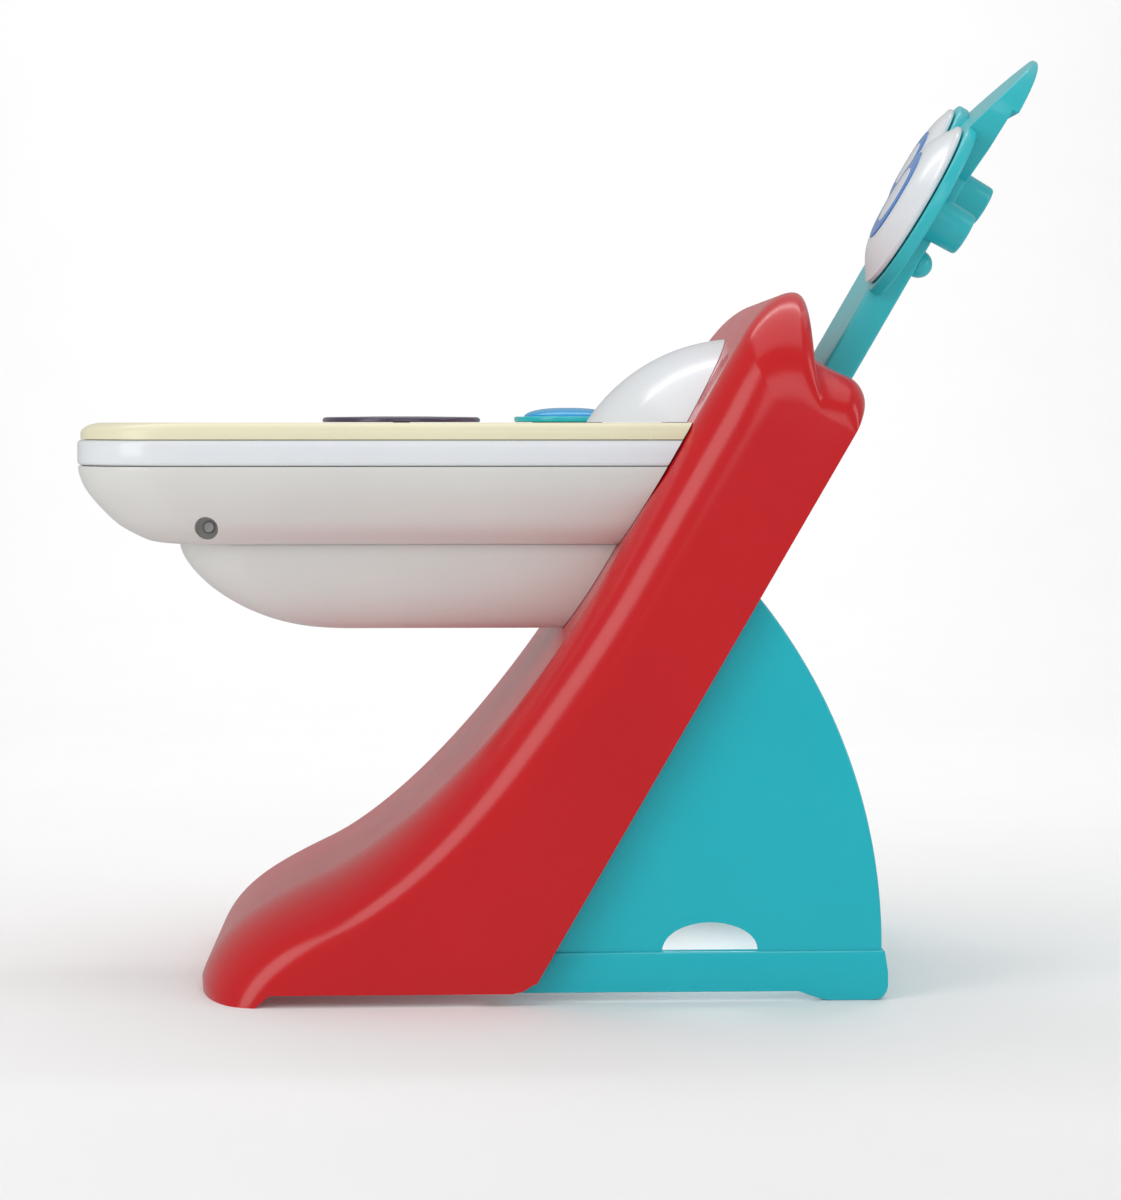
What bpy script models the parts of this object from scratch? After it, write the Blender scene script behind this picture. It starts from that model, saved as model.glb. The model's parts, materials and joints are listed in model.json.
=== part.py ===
"""Toddler activity stand: a leaning pedestal with a play tray, a sign plank and a sliding rear leg.

Sizes are written in millimetres and turned into metres when an object is made.
World axes: -X is the child's side, +X the rear, Y is across, +Z up, floor at Z = 0.
The pedestal leans 30 degrees from upright. Parts on it are drawn upright in the "lean frame",
whose x is minus the distance N in front of the origin and whose z is the distance T up the slope,
and are then turned about Y.
"""

import math

import bmesh
import bpy
from mathutils import Matrix, Vector

METRE = 0.001
GAP = 0.3

LEAN = math.radians(30)
LEAN_MATRIX = Matrix.Rotation(LEAN, 4, "Y")

# Pedestal
COLUMN_FRONT = 119.0
COLUMN_REAR = 29.0
COLUMN_TOP = 416.0
SIDE_TOP = 399.0
SHOULDER = 38.0
PEDESTAL_HALF = 175.0
FLAT_HALF = 137.0
TOE_FLAT_HALF = 85.0
CREST_FLAT_HALF = 82.0
WALL = 4.0
UNDERSIDE = 8.0

# Rear leg
LEG_HALF = 160.0
LEG_WALL = 3.5
LEG_FLANGE = 2.0
FLANGE_TOP = 32.0
SLIDE_DIR = Vector((-0.30, 0, -0.954)).normalized()
SLIDE_TRAVEL = 75.0
COVER_LOW = 287.0

# Tray
DECK_TOP = 368.0
DECK_LOW = 357.3
RIM_LOW = 340.3
BOWL_LOW = 289.0
BELLY_LOW = 232.0
TRAY_FRONT = -321.0
TRAY_HALF = 147.0
TRAY_CORNER = 62.0
TRAY_WALL = 3.0

# Sign plank
PLANK_FRONT = 56.0
PLANK_BACK = 35.5
LEAF_BACK = 31.0
LEAF_LOW = 640.0
PLANK_ROOT = 389.0
PLANK_HALF = 58.0

# Spinners: place across, place up the slope, radius, N of the back of the disc, dome height, N of the boss end
LOWER_SPINNER = {"y": -60.0, "t": 557.0, "radius": 59.0, "seat": 57.0, "dome": 15.0, "boss_end": 18.5}
UPPER_SPINNER = {"y": 47.0, "t": 595.0, "radius": 47.0, "seat": 57.0, "dome": 8.0, "boss_end": 4.5}
BOSS_RADIUS = 14.5
AXLE_RADIUS = 4.0

DISC_CENTRE = (-112.0, 0.0)
DISC_RADIUS = 53.5
PAD_CENTRE = (5.0, 100.0)
PAD_RADIUS = 31.0
PAD_TRAVEL = 3.0
DOME_CENTRE = (118.0, 0.0, 301.0)
DOME_RADIUS = 124.0
GRILLE_CENTRE = (-106.0, 388.0)
SWITCH_CENTRE = (106.0, 390.0)
DOOR_CENTRE = (-112.0, 0.0)
DOOR_SIZE = (62.0, 84.0)

COLOURS = {
    "red": ((0.58, 0.012, 0.018), 0.25),
    "teal": ((0.0, 0.5, 0.6), 0.3),
    "cream": ((0.84, 0.82, 0.62), 0.4),
    "white": ((0.78, 0.82, 0.86), 0.3),
    "shell_grey": ((0.68, 0.72, 0.72), 0.35),
    "purple": ((0.1, 0.07, 0.13), 0.3),
    "blue": ((0.0, 0.32, 0.72), 0.3),
    "steel": ((0.6, 0.6, 0.62), 0.3),
    "black": ((0.03, 0.03, 0.03), 0.5),
    "green": ((0.02, 0.2, 0.06), 0.5),
}


# ---------------------------------------------------------------- helpers

def clear_scene():
    for old in list(bpy.data.objects):
        bpy.data.objects.remove(old, do_unlink=True)


def material(name, colour):
    rgb, roughness = COLOURS[colour]
    made = bpy.data.materials.new(name)
    made.use_nodes = True
    shader = made.node_tree.nodes["Principled BSDF"]
    shader.inputs["Base Color"].default_value = (*rgb, 1)
    shader.inputs["Roughness"].default_value = roughness
    shader.inputs["Metallic"].default_value = 1.0 if colour == "steel" else 0.0
    return made


def lean_point(n, t, y=0.0):
    """World point at N in front, T up the slope and y across."""
    return LEAN_MATRIX @ Vector((-n, y, t))


def lean_xz(n, t):
    p = lean_point(n, t)
    return (p.x, p.z)


def bezier(p0, p1, p2, p3, count):
    """Points along a cubic curve, without its last point."""
    out = []
    for i in range(count):
        u = i / count
        v = 1 - u
        weights = (v ** 3, 3 * v * v * u, 3 * v * u * u, u ** 3)
        ends = (p0, p1, p2, p3)
        out.append(tuple(sum(w * p[k] for w, p in zip(weights, ends)) for k in (0, 1)))
    return out


def arc_through(p0, p1, p2, count):
    """Points on the circle through three points, from p0 to p2."""
    (ax, ay), (bx, by), (cx, cy) = p0, p1, p2
    d = 2 * (ax * (by - cy) + bx * (cy - ay) + cx * (ay - by))
    a2, b2, c2 = ax * ax + ay * ay, bx * bx + by * by, cx * cx + cy * cy
    ux = (a2 * (by - cy) + b2 * (cy - ay) + c2 * (ay - by)) / d
    uy = (a2 * (cx - bx) + b2 * (ax - cx) + c2 * (bx - ax)) / d
    radius = math.hypot(ax - ux, ay - uy)
    start = math.atan2(ay - uy, ax - ux)
    end = math.atan2(cy - uy, cx - ux)
    points = []
    for i in range(count + 1):
        angle = start + (end - start) * i / count
        points.append((ux + radius * math.cos(angle), uy + radius * math.sin(angle)))
    return points


def offset_line(points, distance):
    """An open polyline moved to the right of its own direction by a distance."""
    moved = []
    for i, (x, z) in enumerate(points):
        before = points[max(i - 1, 0)]
        after = points[min(i + 1, len(points) - 1)]
        dx, dz = after[0] - before[0], after[1] - before[1]
        length = math.hypot(dx, dz)
        moved.append((x + distance * dz / length, z - distance * dx / length))
    return moved


def prism(outline, y0, y1):
    """A closed outline of (x, z) points drawn out from y0 to y1."""
    bm = bmesh.new()
    face = bm.faces.new([bm.verts.new((x, y0, z)) for x, z in outline])
    side = bmesh.ops.extrude_face_region(bm, geom=[face])
    moved = [v for v in side["geom"] if isinstance(v, bmesh.types.BMVert)]
    bmesh.ops.translate(bm, vec=(0, y1 - y0, 0), verts=moved)
    bmesh.ops.recalc_face_normals(bm, faces=bm.faces)
    return bm


def plate(outline, z0, z1):
    """A closed outline of (x, y) points drawn up from z0 to z1."""
    bm = bmesh.new()
    face = bm.faces.new([bm.verts.new((x, y, z0)) for x, y in outline])
    side = bmesh.ops.extrude_face_region(bm, geom=[face])
    moved = [v for v in side["geom"] if isinstance(v, bmesh.types.BMVert)]
    bmesh.ops.translate(bm, vec=(0, 0, z1 - z0), verts=moved)
    bmesh.ops.recalc_face_normals(bm, faces=bm.faces)
    return bm


def box(x, y, z):
    """A box from its (low, high) pairs."""
    bm = bmesh.new()
    bmesh.ops.create_cube(bm, size=1)
    size = (x[1] - x[0], y[1] - y[0], z[1] - z[0])
    bmesh.ops.scale(bm, vec=size, verts=bm.verts)
    bmesh.ops.translate(bm, vec=((x[0] + x[1]) / 2, (y[0] + y[1]) / 2, (z[0] + z[1]) / 2), verts=bm.verts)
    return bm


def loft(rings):
    """A closed solid through rings that all have the same number of points."""
    bm = bmesh.new()
    loops = [[bm.verts.new(p) for p in ring] for ring in rings]
    count = len(loops[0])
    for low, high in zip(loops, loops[1:]):
        for i in range(count):
            j = (i + 1) % count
            bm.faces.new((low[i], low[j], high[j], high[i]))
    bm.faces.new(loops[0])
    bm.faces.new(loops[-1])
    bmesh.ops.recalc_face_normals(bm, faces=bm.faces)
    return bm


def turned(profile, segments=32):
    """A solid of revolution about Z from (radius, z) points that start and end on the axis."""
    bm = bmesh.new()
    rings = []
    for radius, z in profile:
        if radius < 1e-6:
            rings.append([bm.verts.new((0, 0, z))])
            continue
        ring = []
        for i in range(segments):
            angle = 2 * math.pi * i / segments
            ring.append(bm.verts.new((radius * math.cos(angle), radius * math.sin(angle), z)))
        rings.append(ring)
    for low, high in zip(rings, rings[1:]):
        for i in range(segments):
            j = (i + 1) % segments
            corners = [low[i % len(low)], low[j % len(low)], high[j % len(high)], high[i % len(high)]]
            unique = list(dict.fromkeys(corners))
            bm.faces.new(unique)
    bmesh.ops.recalc_face_normals(bm, faces=bm.faces)
    return bm


def rod(radius, z0, z1, segments=24):
    return turned([(0, z0), (radius, z0), (radius, z1), (0, z1)], segments)


def tube(inner, outer, z0, z1, segments=32):
    """A ring with a rectangular section, made by spinning it round Z."""
    bm = bmesh.new()
    corners = [bm.verts.new((r, 0, z)) for r, z in ((inner, z0), (outer, z0), (outer, z1), (inner, z1))]
    edges = [bm.edges.new((corners[i], corners[(i + 1) % 4])) for i in range(4)]
    bmesh.ops.spin(bm, geom=corners + edges, axis=(0, 0, 1), cent=(0, 0, 0), angle=2 * math.pi,
                   steps=segments, use_merge=True)
    bmesh.ops.remove_doubles(bm, verts=bm.verts, dist=1e-4)
    bmesh.ops.recalc_face_normals(bm, faces=bm.faces)
    return bm


def coil(radius, wire, z0, z1, turns, steps=14, sides=6):
    """A compression spring round Z, with its wire cut square at both ends."""
    total = int(turns * steps)
    rings = []
    for i in range(total + 1):
        angle = 2 * math.pi * i / steps
        z = z0 + wire + (z1 - z0 - 2 * wire) * i / total
        across = Vector((math.cos(angle), math.sin(angle), 0))
        centre = across * radius + Vector((0, 0, z))
        ring = []
        for k in range(sides):
            turn = 2 * math.pi * k / sides
            ring.append(centre + across * (wire * math.cos(turn)) + Vector((0, 0, wire * math.sin(turn))))
        rings.append(ring)
    return loft(rings)


def moved(bm, matrix):
    bmesh.ops.transform(bm, matrix=matrix, verts=bm.verts)
    return bm


def placed(bm, x=0.0, y=0.0, z=0.0):
    return moved(bm, Matrix.Translation((x, y, z)))


def on_plank(bm, y, t):
    """Turns a piece drawn round Z so that its +Z points out of the plank's front, at (y, t)."""
    out_of_front = Matrix.Rotation(-math.pi / 2, 4, "Y")
    return moved(bm, LEAN_MATRIX @ Matrix.Translation((0, y, t)) @ out_of_front)


def leaned(bm):
    return moved(bm, LEAN_MATRIX)


def to_object(bm, name):
    mesh = bpy.data.meshes.new(name)
    bm.to_mesh(mesh)
    bm.free()
    made = bpy.data.objects.new(name, mesh)
    bpy.context.scene.collection.objects.link(made)
    return made


def combined(bm, operation, *others):
    """One solid after a Boolean with each of the others."""
    target = to_object(bm, "boolean_target")
    for other in others:
        tool = to_object(other, "boolean_tool")
        step = target.modifiers.new("cut", "BOOLEAN")
        step.operation = operation
        step.solver = "EXACT"
        step.object = tool
        graph = bpy.context.evaluated_depsgraph_get()
        result = bpy.data.meshes.new_from_object(target.evaluated_get(graph))
        target.modifiers.clear()
        target.data = result
        bpy.data.objects.remove(tool, do_unlink=True)
    out = bmesh.new()
    out.from_mesh(target.data)
    bpy.data.objects.remove(target, do_unlink=True)
    bmesh.ops.remove_doubles(out, verts=out.verts, dist=1e-3)
    return out


def cut(bm, *tools):
    return combined(bm, "DIFFERENCE", *tools)


def add(bm, *tools):
    return combined(bm, "UNION", *tools)


def piece(name, bm, colour, origin=(0.0, 0.0, 0.0), smooth=35):
    """Names a finished solid, scales it to metres and puts its origin where its joint is."""
    bmesh.ops.scale(bm, vec=(METRE,) * 3, verts=bm.verts)
    start = Vector(origin) * METRE
    bmesh.ops.translate(bm, vec=-start, verts=bm.verts)
    made = to_object(bm, name)
    made.location = start
    made.data.materials.clear()
    made.data.materials.append(material(name, colour))
    made.data.shade_smooth()
    made.data.set_sharp_from_angle(angle=math.radians(smooth))
    return made


# ---------------------------------------------------------------- pedestal

def front_rail():
    """The pedestal's middle outline, from under the toe over the crest to the rear top corner."""
    toe_tip = (-242.0, 8.0)
    toe_back = (-166.0, 72.0)
    slope_low = (20.0, 272.0)
    slope_top = lean_xz(COLUMN_FRONT, COLUMN_TOP)
    crest = (142.0, 452.5)
    behind_crest = (147.0, 425.0)
    saddle_end = (174.0, 397.5)
    corner = lean_xz(COLUMN_REAR, COLUMN_TOP)
    points = [(-241.0, -15.0)]
    points += bezier(toe_tip, (-232.0, 38.0), (-206.5, 52.6), toe_back, 7)
    points += bezier(toe_back, (-112.0, 98.0), (-37.5, 172.4), slope_low, 10)
    points += [slope_low, lean_xz(COLUMN_FRONT, 350.0)]
    points += bezier(slope_top, (109.0, 427.0), (123.0, 450.0), crest, 5)
    points += bezier(crest, (155.0, 454.0), (152.0, 438.0), behind_crest, 5)
    points += bezier(behind_crest, (144.0, 414.0), (162.0, 402.5), saddle_end, 5)
    points += bezier(saddle_end, (181.0, 395.0), (188.0, 384.0), corner, 3)
    return points + [corner]


TOE_STATIONS = 1 + 7
SLOPE_STATIONS = TOE_STATIONS + 10 + 2


def side_rail(front):
    """The outline of the flat side: the front rail moved in by the shoulder, then a square top."""
    low = offset_line(front, SHOULDER)[:SLOPE_STATIONS]
    low[:TOE_STATIONS] = [(-205.0, front[0][1])] + bezier(
        (-203.0, -6.0), (-197.0, 8.0), (-176.0, 26.0), low[TOE_STATIONS], TOE_STATIONS - 1)
    top_count = len(front) - SLOPE_STATIONS
    inner = COLUMN_FRONT - SHOULDER
    top = []
    for i in range(top_count):
        share = i / (top_count - 1)
        n = inner + (COLUMN_REAR - inner) * share
        t = SIDE_TOP - 8.0 * (1 - share) ** 6
        top.append(lean_xz(n, t))
    return low + top


def flat_half(index, count):
    """How far the front is flat across before it rolls into the side: less at toe and crest."""
    if index < SLOPE_STATIONS:
        rise = min(max((index - TOE_STATIONS) / 8, 0), 1)
        return TOE_FLAT_HALF + (FLAT_HALF - TOE_FLAT_HALF) * rise * rise * (3 - 2 * rise)
    share = (index - SLOPE_STATIONS) / (count - 1 - SLOPE_STATIONS)
    dip = math.sin(math.pi * min(share * 1.15, 1.0)) ** 2
    return FLAT_HALF + (CREST_FLAT_HALF - FLAT_HALF) * dip


def section(front, side, flat, half, rear, steps=5):
    """One ring of the pedestal: rear corner, roll, flat front, roll, rear corner."""
    roll = []
    for i in range(steps + 1):
        angle = math.pi / 2 * i / steps
        y = flat + (half - flat) * math.sin(angle)
        share = 1 - math.cos(angle)
        roll.append((front[0] + (side[0] - front[0]) * share, y, front[1] + (side[1] - front[1]) * share))
    near = [(x, -y, z) for x, y, z in reversed(roll)]
    return [(rear[0], -half, rear[1])] + near + roll + [(rear[0], half, rear[1])]


def rear_points(count, low, high):
    return [tuple(a + (b - a) * i / (count - 1) for a, b in zip(low, high)) for i in range(count)]


def pedestal_outer():
    front = front_rail()
    side = side_rail(front)
    count = len(front)
    floor = front[0][1]
    low = ((floor / 2 - COLUMN_REAR) / math.cos(LEAN), floor)
    rear = rear_points(count, low, lean_xz(COLUMN_REAR, SIDE_TOP - 8))
    rings = []
    for i in range(count):
        rings.append(section(front[i], side[i], flat_half(i, count), PEDESTAL_HALF, rear[i]))
    return loft(rings)


def pedestal_cavity():
    """The hollow inside, which runs out through the back and the bottom."""
    whole = front_rail()
    keep = len(whole) - 5
    front = offset_line(whole, WALL)[:keep]
    side = offset_line(side_rail(whole), WALL)[:keep]
    past_rear = COLUMN_REAR - 12
    front[0] = (front[1][0], -40.0)
    side[0] = (side[1][0], -40.0)
    front.append(lean_xz(past_rear, COLUMN_TOP - WALL - 2))
    side.append(lean_xz(past_rear, SIDE_TOP - WALL))
    count = len(front)
    low = ((-40.0 / 2 - past_rear) / math.cos(LEAN), -40.0)
    rear = rear_points(count, low, lean_xz(past_rear, SIDE_TOP - 14))
    rings = []
    for i in range(count):
        flat = flat_half(min(i, keep - 1), len(whole))
        rings.append(section(front[i], side[i], flat, PEDESTAL_HALF - WALL, rear[i]))
    return loft(rings)


def floor_cut():
    """What is cut away under the pedestal: it stands on the toe, and the rest is a little raised."""
    return prism([(-300, -60), (-300, 0), (-203, 0), (-194, UNDERSIDE), (-41, UNDERSIDE),
                  (-34, UNDERSIDE + 1.5), (-27, 14), (40, 14), (40, -60)], -230, 230)


TRAY_SCREWS = [(y, t) for y in (-80.0, 80.0) for t in (285.0, 322.0)]
COVER_SCREWS = [(y, 403.0) for y in (-122.0, -78.0, 78.0, 122.0)]


def pedestal_shell():
    shell = cut(pedestal_outer(), floor_cut(), pedestal_cavity())
    posts = []
    for y, t in COVER_SCREWS:
        posts.append(leaned(box((-50, -COLUMN_REAR - 4 - GAP), (y - 6, y + 6), (t - 6, t + 19.5))))
    shell = add(shell, *posts)
    tools = [leaned(box((-PLANK_FRONT - GAP, -PLANK_BACK + GAP), (-PLANK_HALF - GAP, PLANK_HALF + GAP),
                        (PLANK_ROOT - GAP, 470)))]
    for y, t in TRAY_SCREWS:
        tools.append(on_plank(rod(2.6, COLUMN_FRONT - 12, COLUMN_FRONT + 5, 12), y, t))
    for y, t in COVER_SCREWS:
        tools.append(on_plank(rod(1.9 + GAP, 26, 44, 12), y, t))
    for i in range(5):
        y = GRILLE_CENTRE[0] + 9 * (i - 2)
        tools.append(leaned(box((-COLUMN_FRONT - 2, -COLUMN_FRONT + 8), (y - 2.2, y + 2.2),
                                (GRILLE_CENTRE[1] - 18, GRILLE_CENTRE[1] + 18))))
    tools.append(leaned(box((-COLUMN_FRONT - 2, -COLUMN_FRONT + 8),
                            (SWITCH_CENTRE[0] - 6, SWITCH_CENTRE[0] + 6),
                            (SWITCH_CENTRE[1] - 14, SWITCH_CENTRE[1] + 14))))
    return piece("pedestal_shell", cut(shell, *tools), "red")


LOCK_T = 299.0
LOCK_NECK = 5.0
LOCK_TRAVEL = 4.5


def back_cover():
    half = PEDESTAL_HALF - WALL - GAP
    side_top = SIDE_TOP - WALL - 3.0
    top_half = FLAT_HALF + 12
    top = COLUMN_TOP - WALL - 3.5
    notch, notch_low = PLANK_HALF + 4, PLANK_ROOT - 3
    outline = [(-half, COVER_LOW), (half, COVER_LOW), (half, side_top), (top_half, top), (notch, top),
               (notch, notch_low), (-notch, notch_low), (-notch, top), (-top_half, top), (-half, side_top)]
    cover = upright_plate(outline, COLUMN_REAR + 1, COLUMN_REAR + 4)
    tools = [on_plank(rod(1.9 + GAP, 20, 44, 12), y, t) for y, t in COVER_SCREWS]
    tools.append(on_plank(rod(LOCK_NECK + GAP, 20, 44, 20), 0, LOCK_T))
    return piece("back_cover", cut(cover, *tools), "red")


def cover_screws():
    for index, (y, t) in enumerate(COVER_SCREWS, 1):
        head = COLUMN_REAR + 1 - GAP
        profile = [(0, head - 1.8), (3.0, head - 1.8), (3.9, head - 0.6), (3.9, head),
                   (1.9, head), (1.9, head + 11), (0, head + 13)]
        piece(f"cover_screw_{index}", on_plank(turned(profile, 12), y, t), "steel")


def lock_knob():
    """A push-in knob through the back cover: its nose enters one of the holes in the leg's apron."""
    cover_out, cover_in = COLUMN_REAR + 1, COLUMN_REAR + 4
    cap = cover_out - GAP - LOCK_TRAVEL
    profile = [(0, cap - 11), (8.0, cap - 11), (10.5, cap - 9), (11.0, cap - 2), (10.0, cap),
               (LOCK_NECK, cap), (LOCK_NECK, cover_in + GAP), (6.5, cover_in + GAP), (6.5, cover_in + 1.6),
               (3.5, cover_in + 1.6), (3.5, cover_in + 6.4), (2.2, cover_in + 7.4), (0, cover_in + 7.4)]
    origin = lean_point(COLUMN_REAR, LOCK_T)
    return piece("lock_knob", on_plank(turned(profile, 24), 0, LOCK_T), "teal", origin)


# ---------------------------------------------------------------- rear leg

APRON_LOW_T = 282.0
APRON_TOP_T = 382.0
GUIDE_FORWARD = 9.0


def apron_n(t):
    """N of the apron's rear face, which runs along the slide direction inside the cover."""
    lean_dir = LEAN_MATRIX.inverted() @ SLIDE_DIR
    return COLUMN_REAR + 10.0 + (t - COVER_LOW) * (-lean_dir.x / lean_dir.z)


def leg_outline():
    """The leg seen from the side: foot, quarter-round back, apron and guide end."""
    front_edge_n = 47.0
    arc_top = lean_xz(COLUMN_REAR - 1.6, 281.0)
    apron_top = Vector(lean_xz(apron_n(APRON_TOP_T), APRON_TOP_T))
    down = Vector((SLIDE_DIR.x, SLIDE_DIR.z))
    forward = Vector((down.y, -down.x))
    guide_top = apron_top + forward * 35.0
    guide_low = guide_top + down * 212.0
    points = [((6.0 / 2 - front_edge_n) / math.cos(LEAN), 6.0), (142.0, 6.0), (156.0, 1.0), (162.0, 0.0),
              (190.0, 0.0), (196.0, 3.0), (197.5, 8.0)]
    points += arc_through((195.5, 33.0), (181.0, 134.0), arc_top, 12)
    points += [lean_xz(apron_n(APRON_LOW_T), APRON_LOW_T), tuple(apron_top), tuple(guide_top),
               tuple(guide_low)]
    return points


def leg_hollow():
    arc_top = lean_xz(COLUMN_REAR - 1.6, 281.0)
    inner_arc = offset_line(arc_through((195.5, 33.0), (181.0, 134.0), arc_top, 12), -LEG_WALL)
    apron_low = lean_xz(apron_n(APRON_LOW_T) + LEG_WALL, APRON_LOW_T - 4)
    apron_high = lean_xz(apron_n(APRON_TOP_T + 12) + LEG_WALL, APRON_TOP_T + 12)
    points = [(-120.0, -20.0), (192.0, -20.0)]
    points += inner_arc[:-1]
    return points + [apron_low, apron_high, (60.0, 400.0), (-120.0, 300.0)]


def guide_line(start, length):
    """Centre of a stretch on the guide, start mm below the apron's top, and its box along the slide."""
    down = Vector((SLIDE_DIR.x, SLIDE_DIR.z))
    forward = Vector((down.y, -down.x))
    top = Vector(lean_xz(apron_n(APRON_TOP_T), APRON_TOP_T)) + forward * GUIDE_FORWARD + down * start
    return top + down * (length / 2)


def guide_box(centre, width, length, y):
    bar = box((-width / 2, width / 2), y, (-length / 2, length / 2))
    turn = math.atan2(SLIDE_DIR.x, SLIDE_DIR.z)
    return placed(moved(bar, Matrix.Rotation(turn, 4, "Y")), centre.x, 0, centre.y)


def rear_leg():
    leg = prism(leg_outline(), -LEG_HALF, LEG_HALF)
    leg = cut(leg, prism(leg_hollow(), -LEG_HALF + LEG_WALL, LEG_HALF - LEG_WALL))
    foot = [(-45.0, 6.0), (142.0, 6.0), (156.0, 1.0), (162.0, 0.0), (190.0, 0.0), (196.5, 2.5), (199.5, 9.0),
            (199.0, 18.0), (196.6, FLANGE_TOP), (-30.0, FLANGE_TOP)]
    inside = [(-60.0, -20.0), (192.0, -20.0), (192.0, 60.0), (-60.0, 60.0)]
    half = LEG_HALF + LEG_FLANGE
    flange = cut(prism(foot, -half, half), prism(inside, -LEG_HALF + 1, LEG_HALF - 1))
    hole = [(55.0, FLANGE_TOP + 0.5), (116.0, FLANGE_TOP + 0.5)]
    for i in range(1, 12):
        angle = math.pi * i / 12
        hole.append((85.5 + 30.5 * math.cos(angle), FLANGE_TOP + 0.5 + 18.0 * math.sin(angle)))
    ribs = []
    for side in (-1, 1):
        y = sorted((side * (LEG_HALF - 1), side * (LEG_HALF + 5.5)))
        ribs.append(guide_box(guide_line(12, 70), 12, 70, y))
    pin_holes = []
    lean_drop = -(LEAN_MATRIX.inverted() @ SLIDE_DIR).z
    for position in (0, 0.5, 1):
        t = LOCK_T + position * SLIDE_TRAVEL * lean_drop
        pin_holes.append(on_plank(rod(4.5, 30, 64, 20), 0, t))
    leg = add(leg, flange, *ribs)
    return piece("rear_leg", cut(leg, prism(hole, -200, 200), *pin_holes), "teal")


def guide_channels():
    for name, side in (("guide_channel_near", -1), ("guide_channel_far", 1)):
        outer = sorted((side * (LEG_HALF + 0.6), side * (PEDESTAL_HALF - WALL - GAP)))
        groove = sorted((side * (LEG_HALF - 2), side * (LEG_HALF + 6.2)))
        bar = guide_box(guide_line(8, 108), 17.6, 108, outer)
        slot = guide_box(guide_line(-10, 150), 12.8, 150, groove)
        piece(name, cut(bar, slot), "white")


# ---------------------------------------------------------------- tray

def tray_outline(front, half, corner, rear=120.0, steps=6):
    """Plan of the tray: square at the rear, with two round front corners."""
    points = [(rear, -half), (rear, half)]
    for i in range(steps + 1):
        angle = math.pi / 2 * i / steps
        points.append((front + corner - corner * math.sin(angle), half - corner + corner * math.cos(angle)))
    for i in range(steps + 1):
        angle = math.pi / 2 * i / steps
        points.append((front + corner - corner * math.cos(angle), -half + corner - corner * math.sin(angle)))
    return points


def tray_level(front, half, corner, z):
    return [(x, y, z) for x, y in tray_outline(front, half, corner)]


def column_plane():
    """Everything behind the pedestal's front line, to trim the tray to it."""
    line = offset_line(front_rail()[TOE_STATIONS:SLOPE_STATIONS], -GAP)
    high = lean_xz(COLUMN_FRONT + GAP, 700)
    return prism(line + [high, (500.0, high[1]), (500.0, line[0][1])], -260, 260)


DISC_HOLE = 6.0


def tray_deck():
    edge = 7.0
    levels = [tray_level(TRAY_FRONT + 2, TRAY_HALF - 1, TRAY_CORNER, DECK_LOW)]
    for i in range(5):
        angle = math.pi / 2 * i / 4
        inset = edge * (1 - math.cos(angle))
        z = DECK_TOP - edge + edge * math.sin(angle)
        levels.append(tray_level(TRAY_FRONT + 2 + 2 * inset, TRAY_HALF - 1 - inset, TRAY_CORNER, z))
    deck = loft(levels)
    hollow = plate(tray_outline(TRAY_FRONT + 14, TRAY_HALF - 8, TRAY_CORNER - 8, 160), DECK_LOW - 5, DECK_TOP - 4)
    disc_hole = placed(rod(DISC_HOLE, 340, 380, 24), *DISC_CENTRE)
    pad_hole = placed(rod(PAD_RADIUS - 3, 340, 380, 32), *PAD_CENTRE)
    return piece("tray_deck", cut(deck, hollow, disc_hole, pad_hole, column_plane()), "cream")


def tray_rim():
    levels = [tray_level(TRAY_FRONT + 1.5, TRAY_HALF - 1.5, TRAY_CORNER, RIM_LOW),
              tray_level(TRAY_FRONT, TRAY_HALF, TRAY_CORNER, RIM_LOW + 3),
              tray_level(TRAY_FRONT, TRAY_HALF, TRAY_CORNER, DECK_LOW - GAP - 3),
              tray_level(TRAY_FRONT + 1.5, TRAY_HALF - 1.5, TRAY_CORNER, DECK_LOW - GAP)]
    hollow = plate(tray_outline(TRAY_FRONT + 6, TRAY_HALF - 6, TRAY_CORNER - 6, 160), RIM_LOW - 5, DECK_LOW + 5)
    return piece("tray_rim", cut(loft(levels), hollow, column_plane()), "white")


def bowl_levels(shrink, low_extra, top_extra):
    """Rings of the bowl from its flat bottom up: (height, inset) pairs, shrunk by a wall."""
    steps = [(BOWL_LOW, 56.0), (BOWL_LOW + 3, 42.0), (BOWL_LOW + 12, 26.0), (BOWL_LOW + 24, 14.0),
             (BOWL_LOW + 36, 5.0), (BOWL_LOW + 46, 1.0), (RIM_LOW - GAP, 0.5)]
    rings = []
    for i, (z, inset) in enumerate(steps):
        lift = low_extra if i == 0 else 0.0
        if i == len(steps) - 1:
            z += top_extra
        d = inset + shrink
        rings.append(tray_level(TRAY_FRONT + d, TRAY_HALF - 0.8 * d, max(TRAY_CORNER - 0.3 * d, 20), z + lift))
    return rings


BELLY_FRONT = -258.0
BELLY_HALF = 100.0


def belly_levels(shrink, low_extra, top_extra):
    depth = BOWL_LOW - GAP - BELLY_LOW
    rings = []
    count = 7
    for i in range(count + 1):
        angle = math.pi / 2 * i / count
        inset = 98.0 * max(1 - math.sin(angle), 0.0) ** 0.8
        z = BELLY_LOW + depth * (1 - math.cos(angle))
        if i == 0:
            z += low_extra
        if i == count:
            z += top_extra
        d = inset + shrink
        rings.append(tray_level(BELLY_FRONT + d, BELLY_HALF - 0.4 * d, max(48 - 0.3 * d, 18), z))
    return rings


POCKET = (-235.0, 300.5)
POCKET_RADIUS = 7.5
POCKET_FLOOR = 103.0


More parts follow.
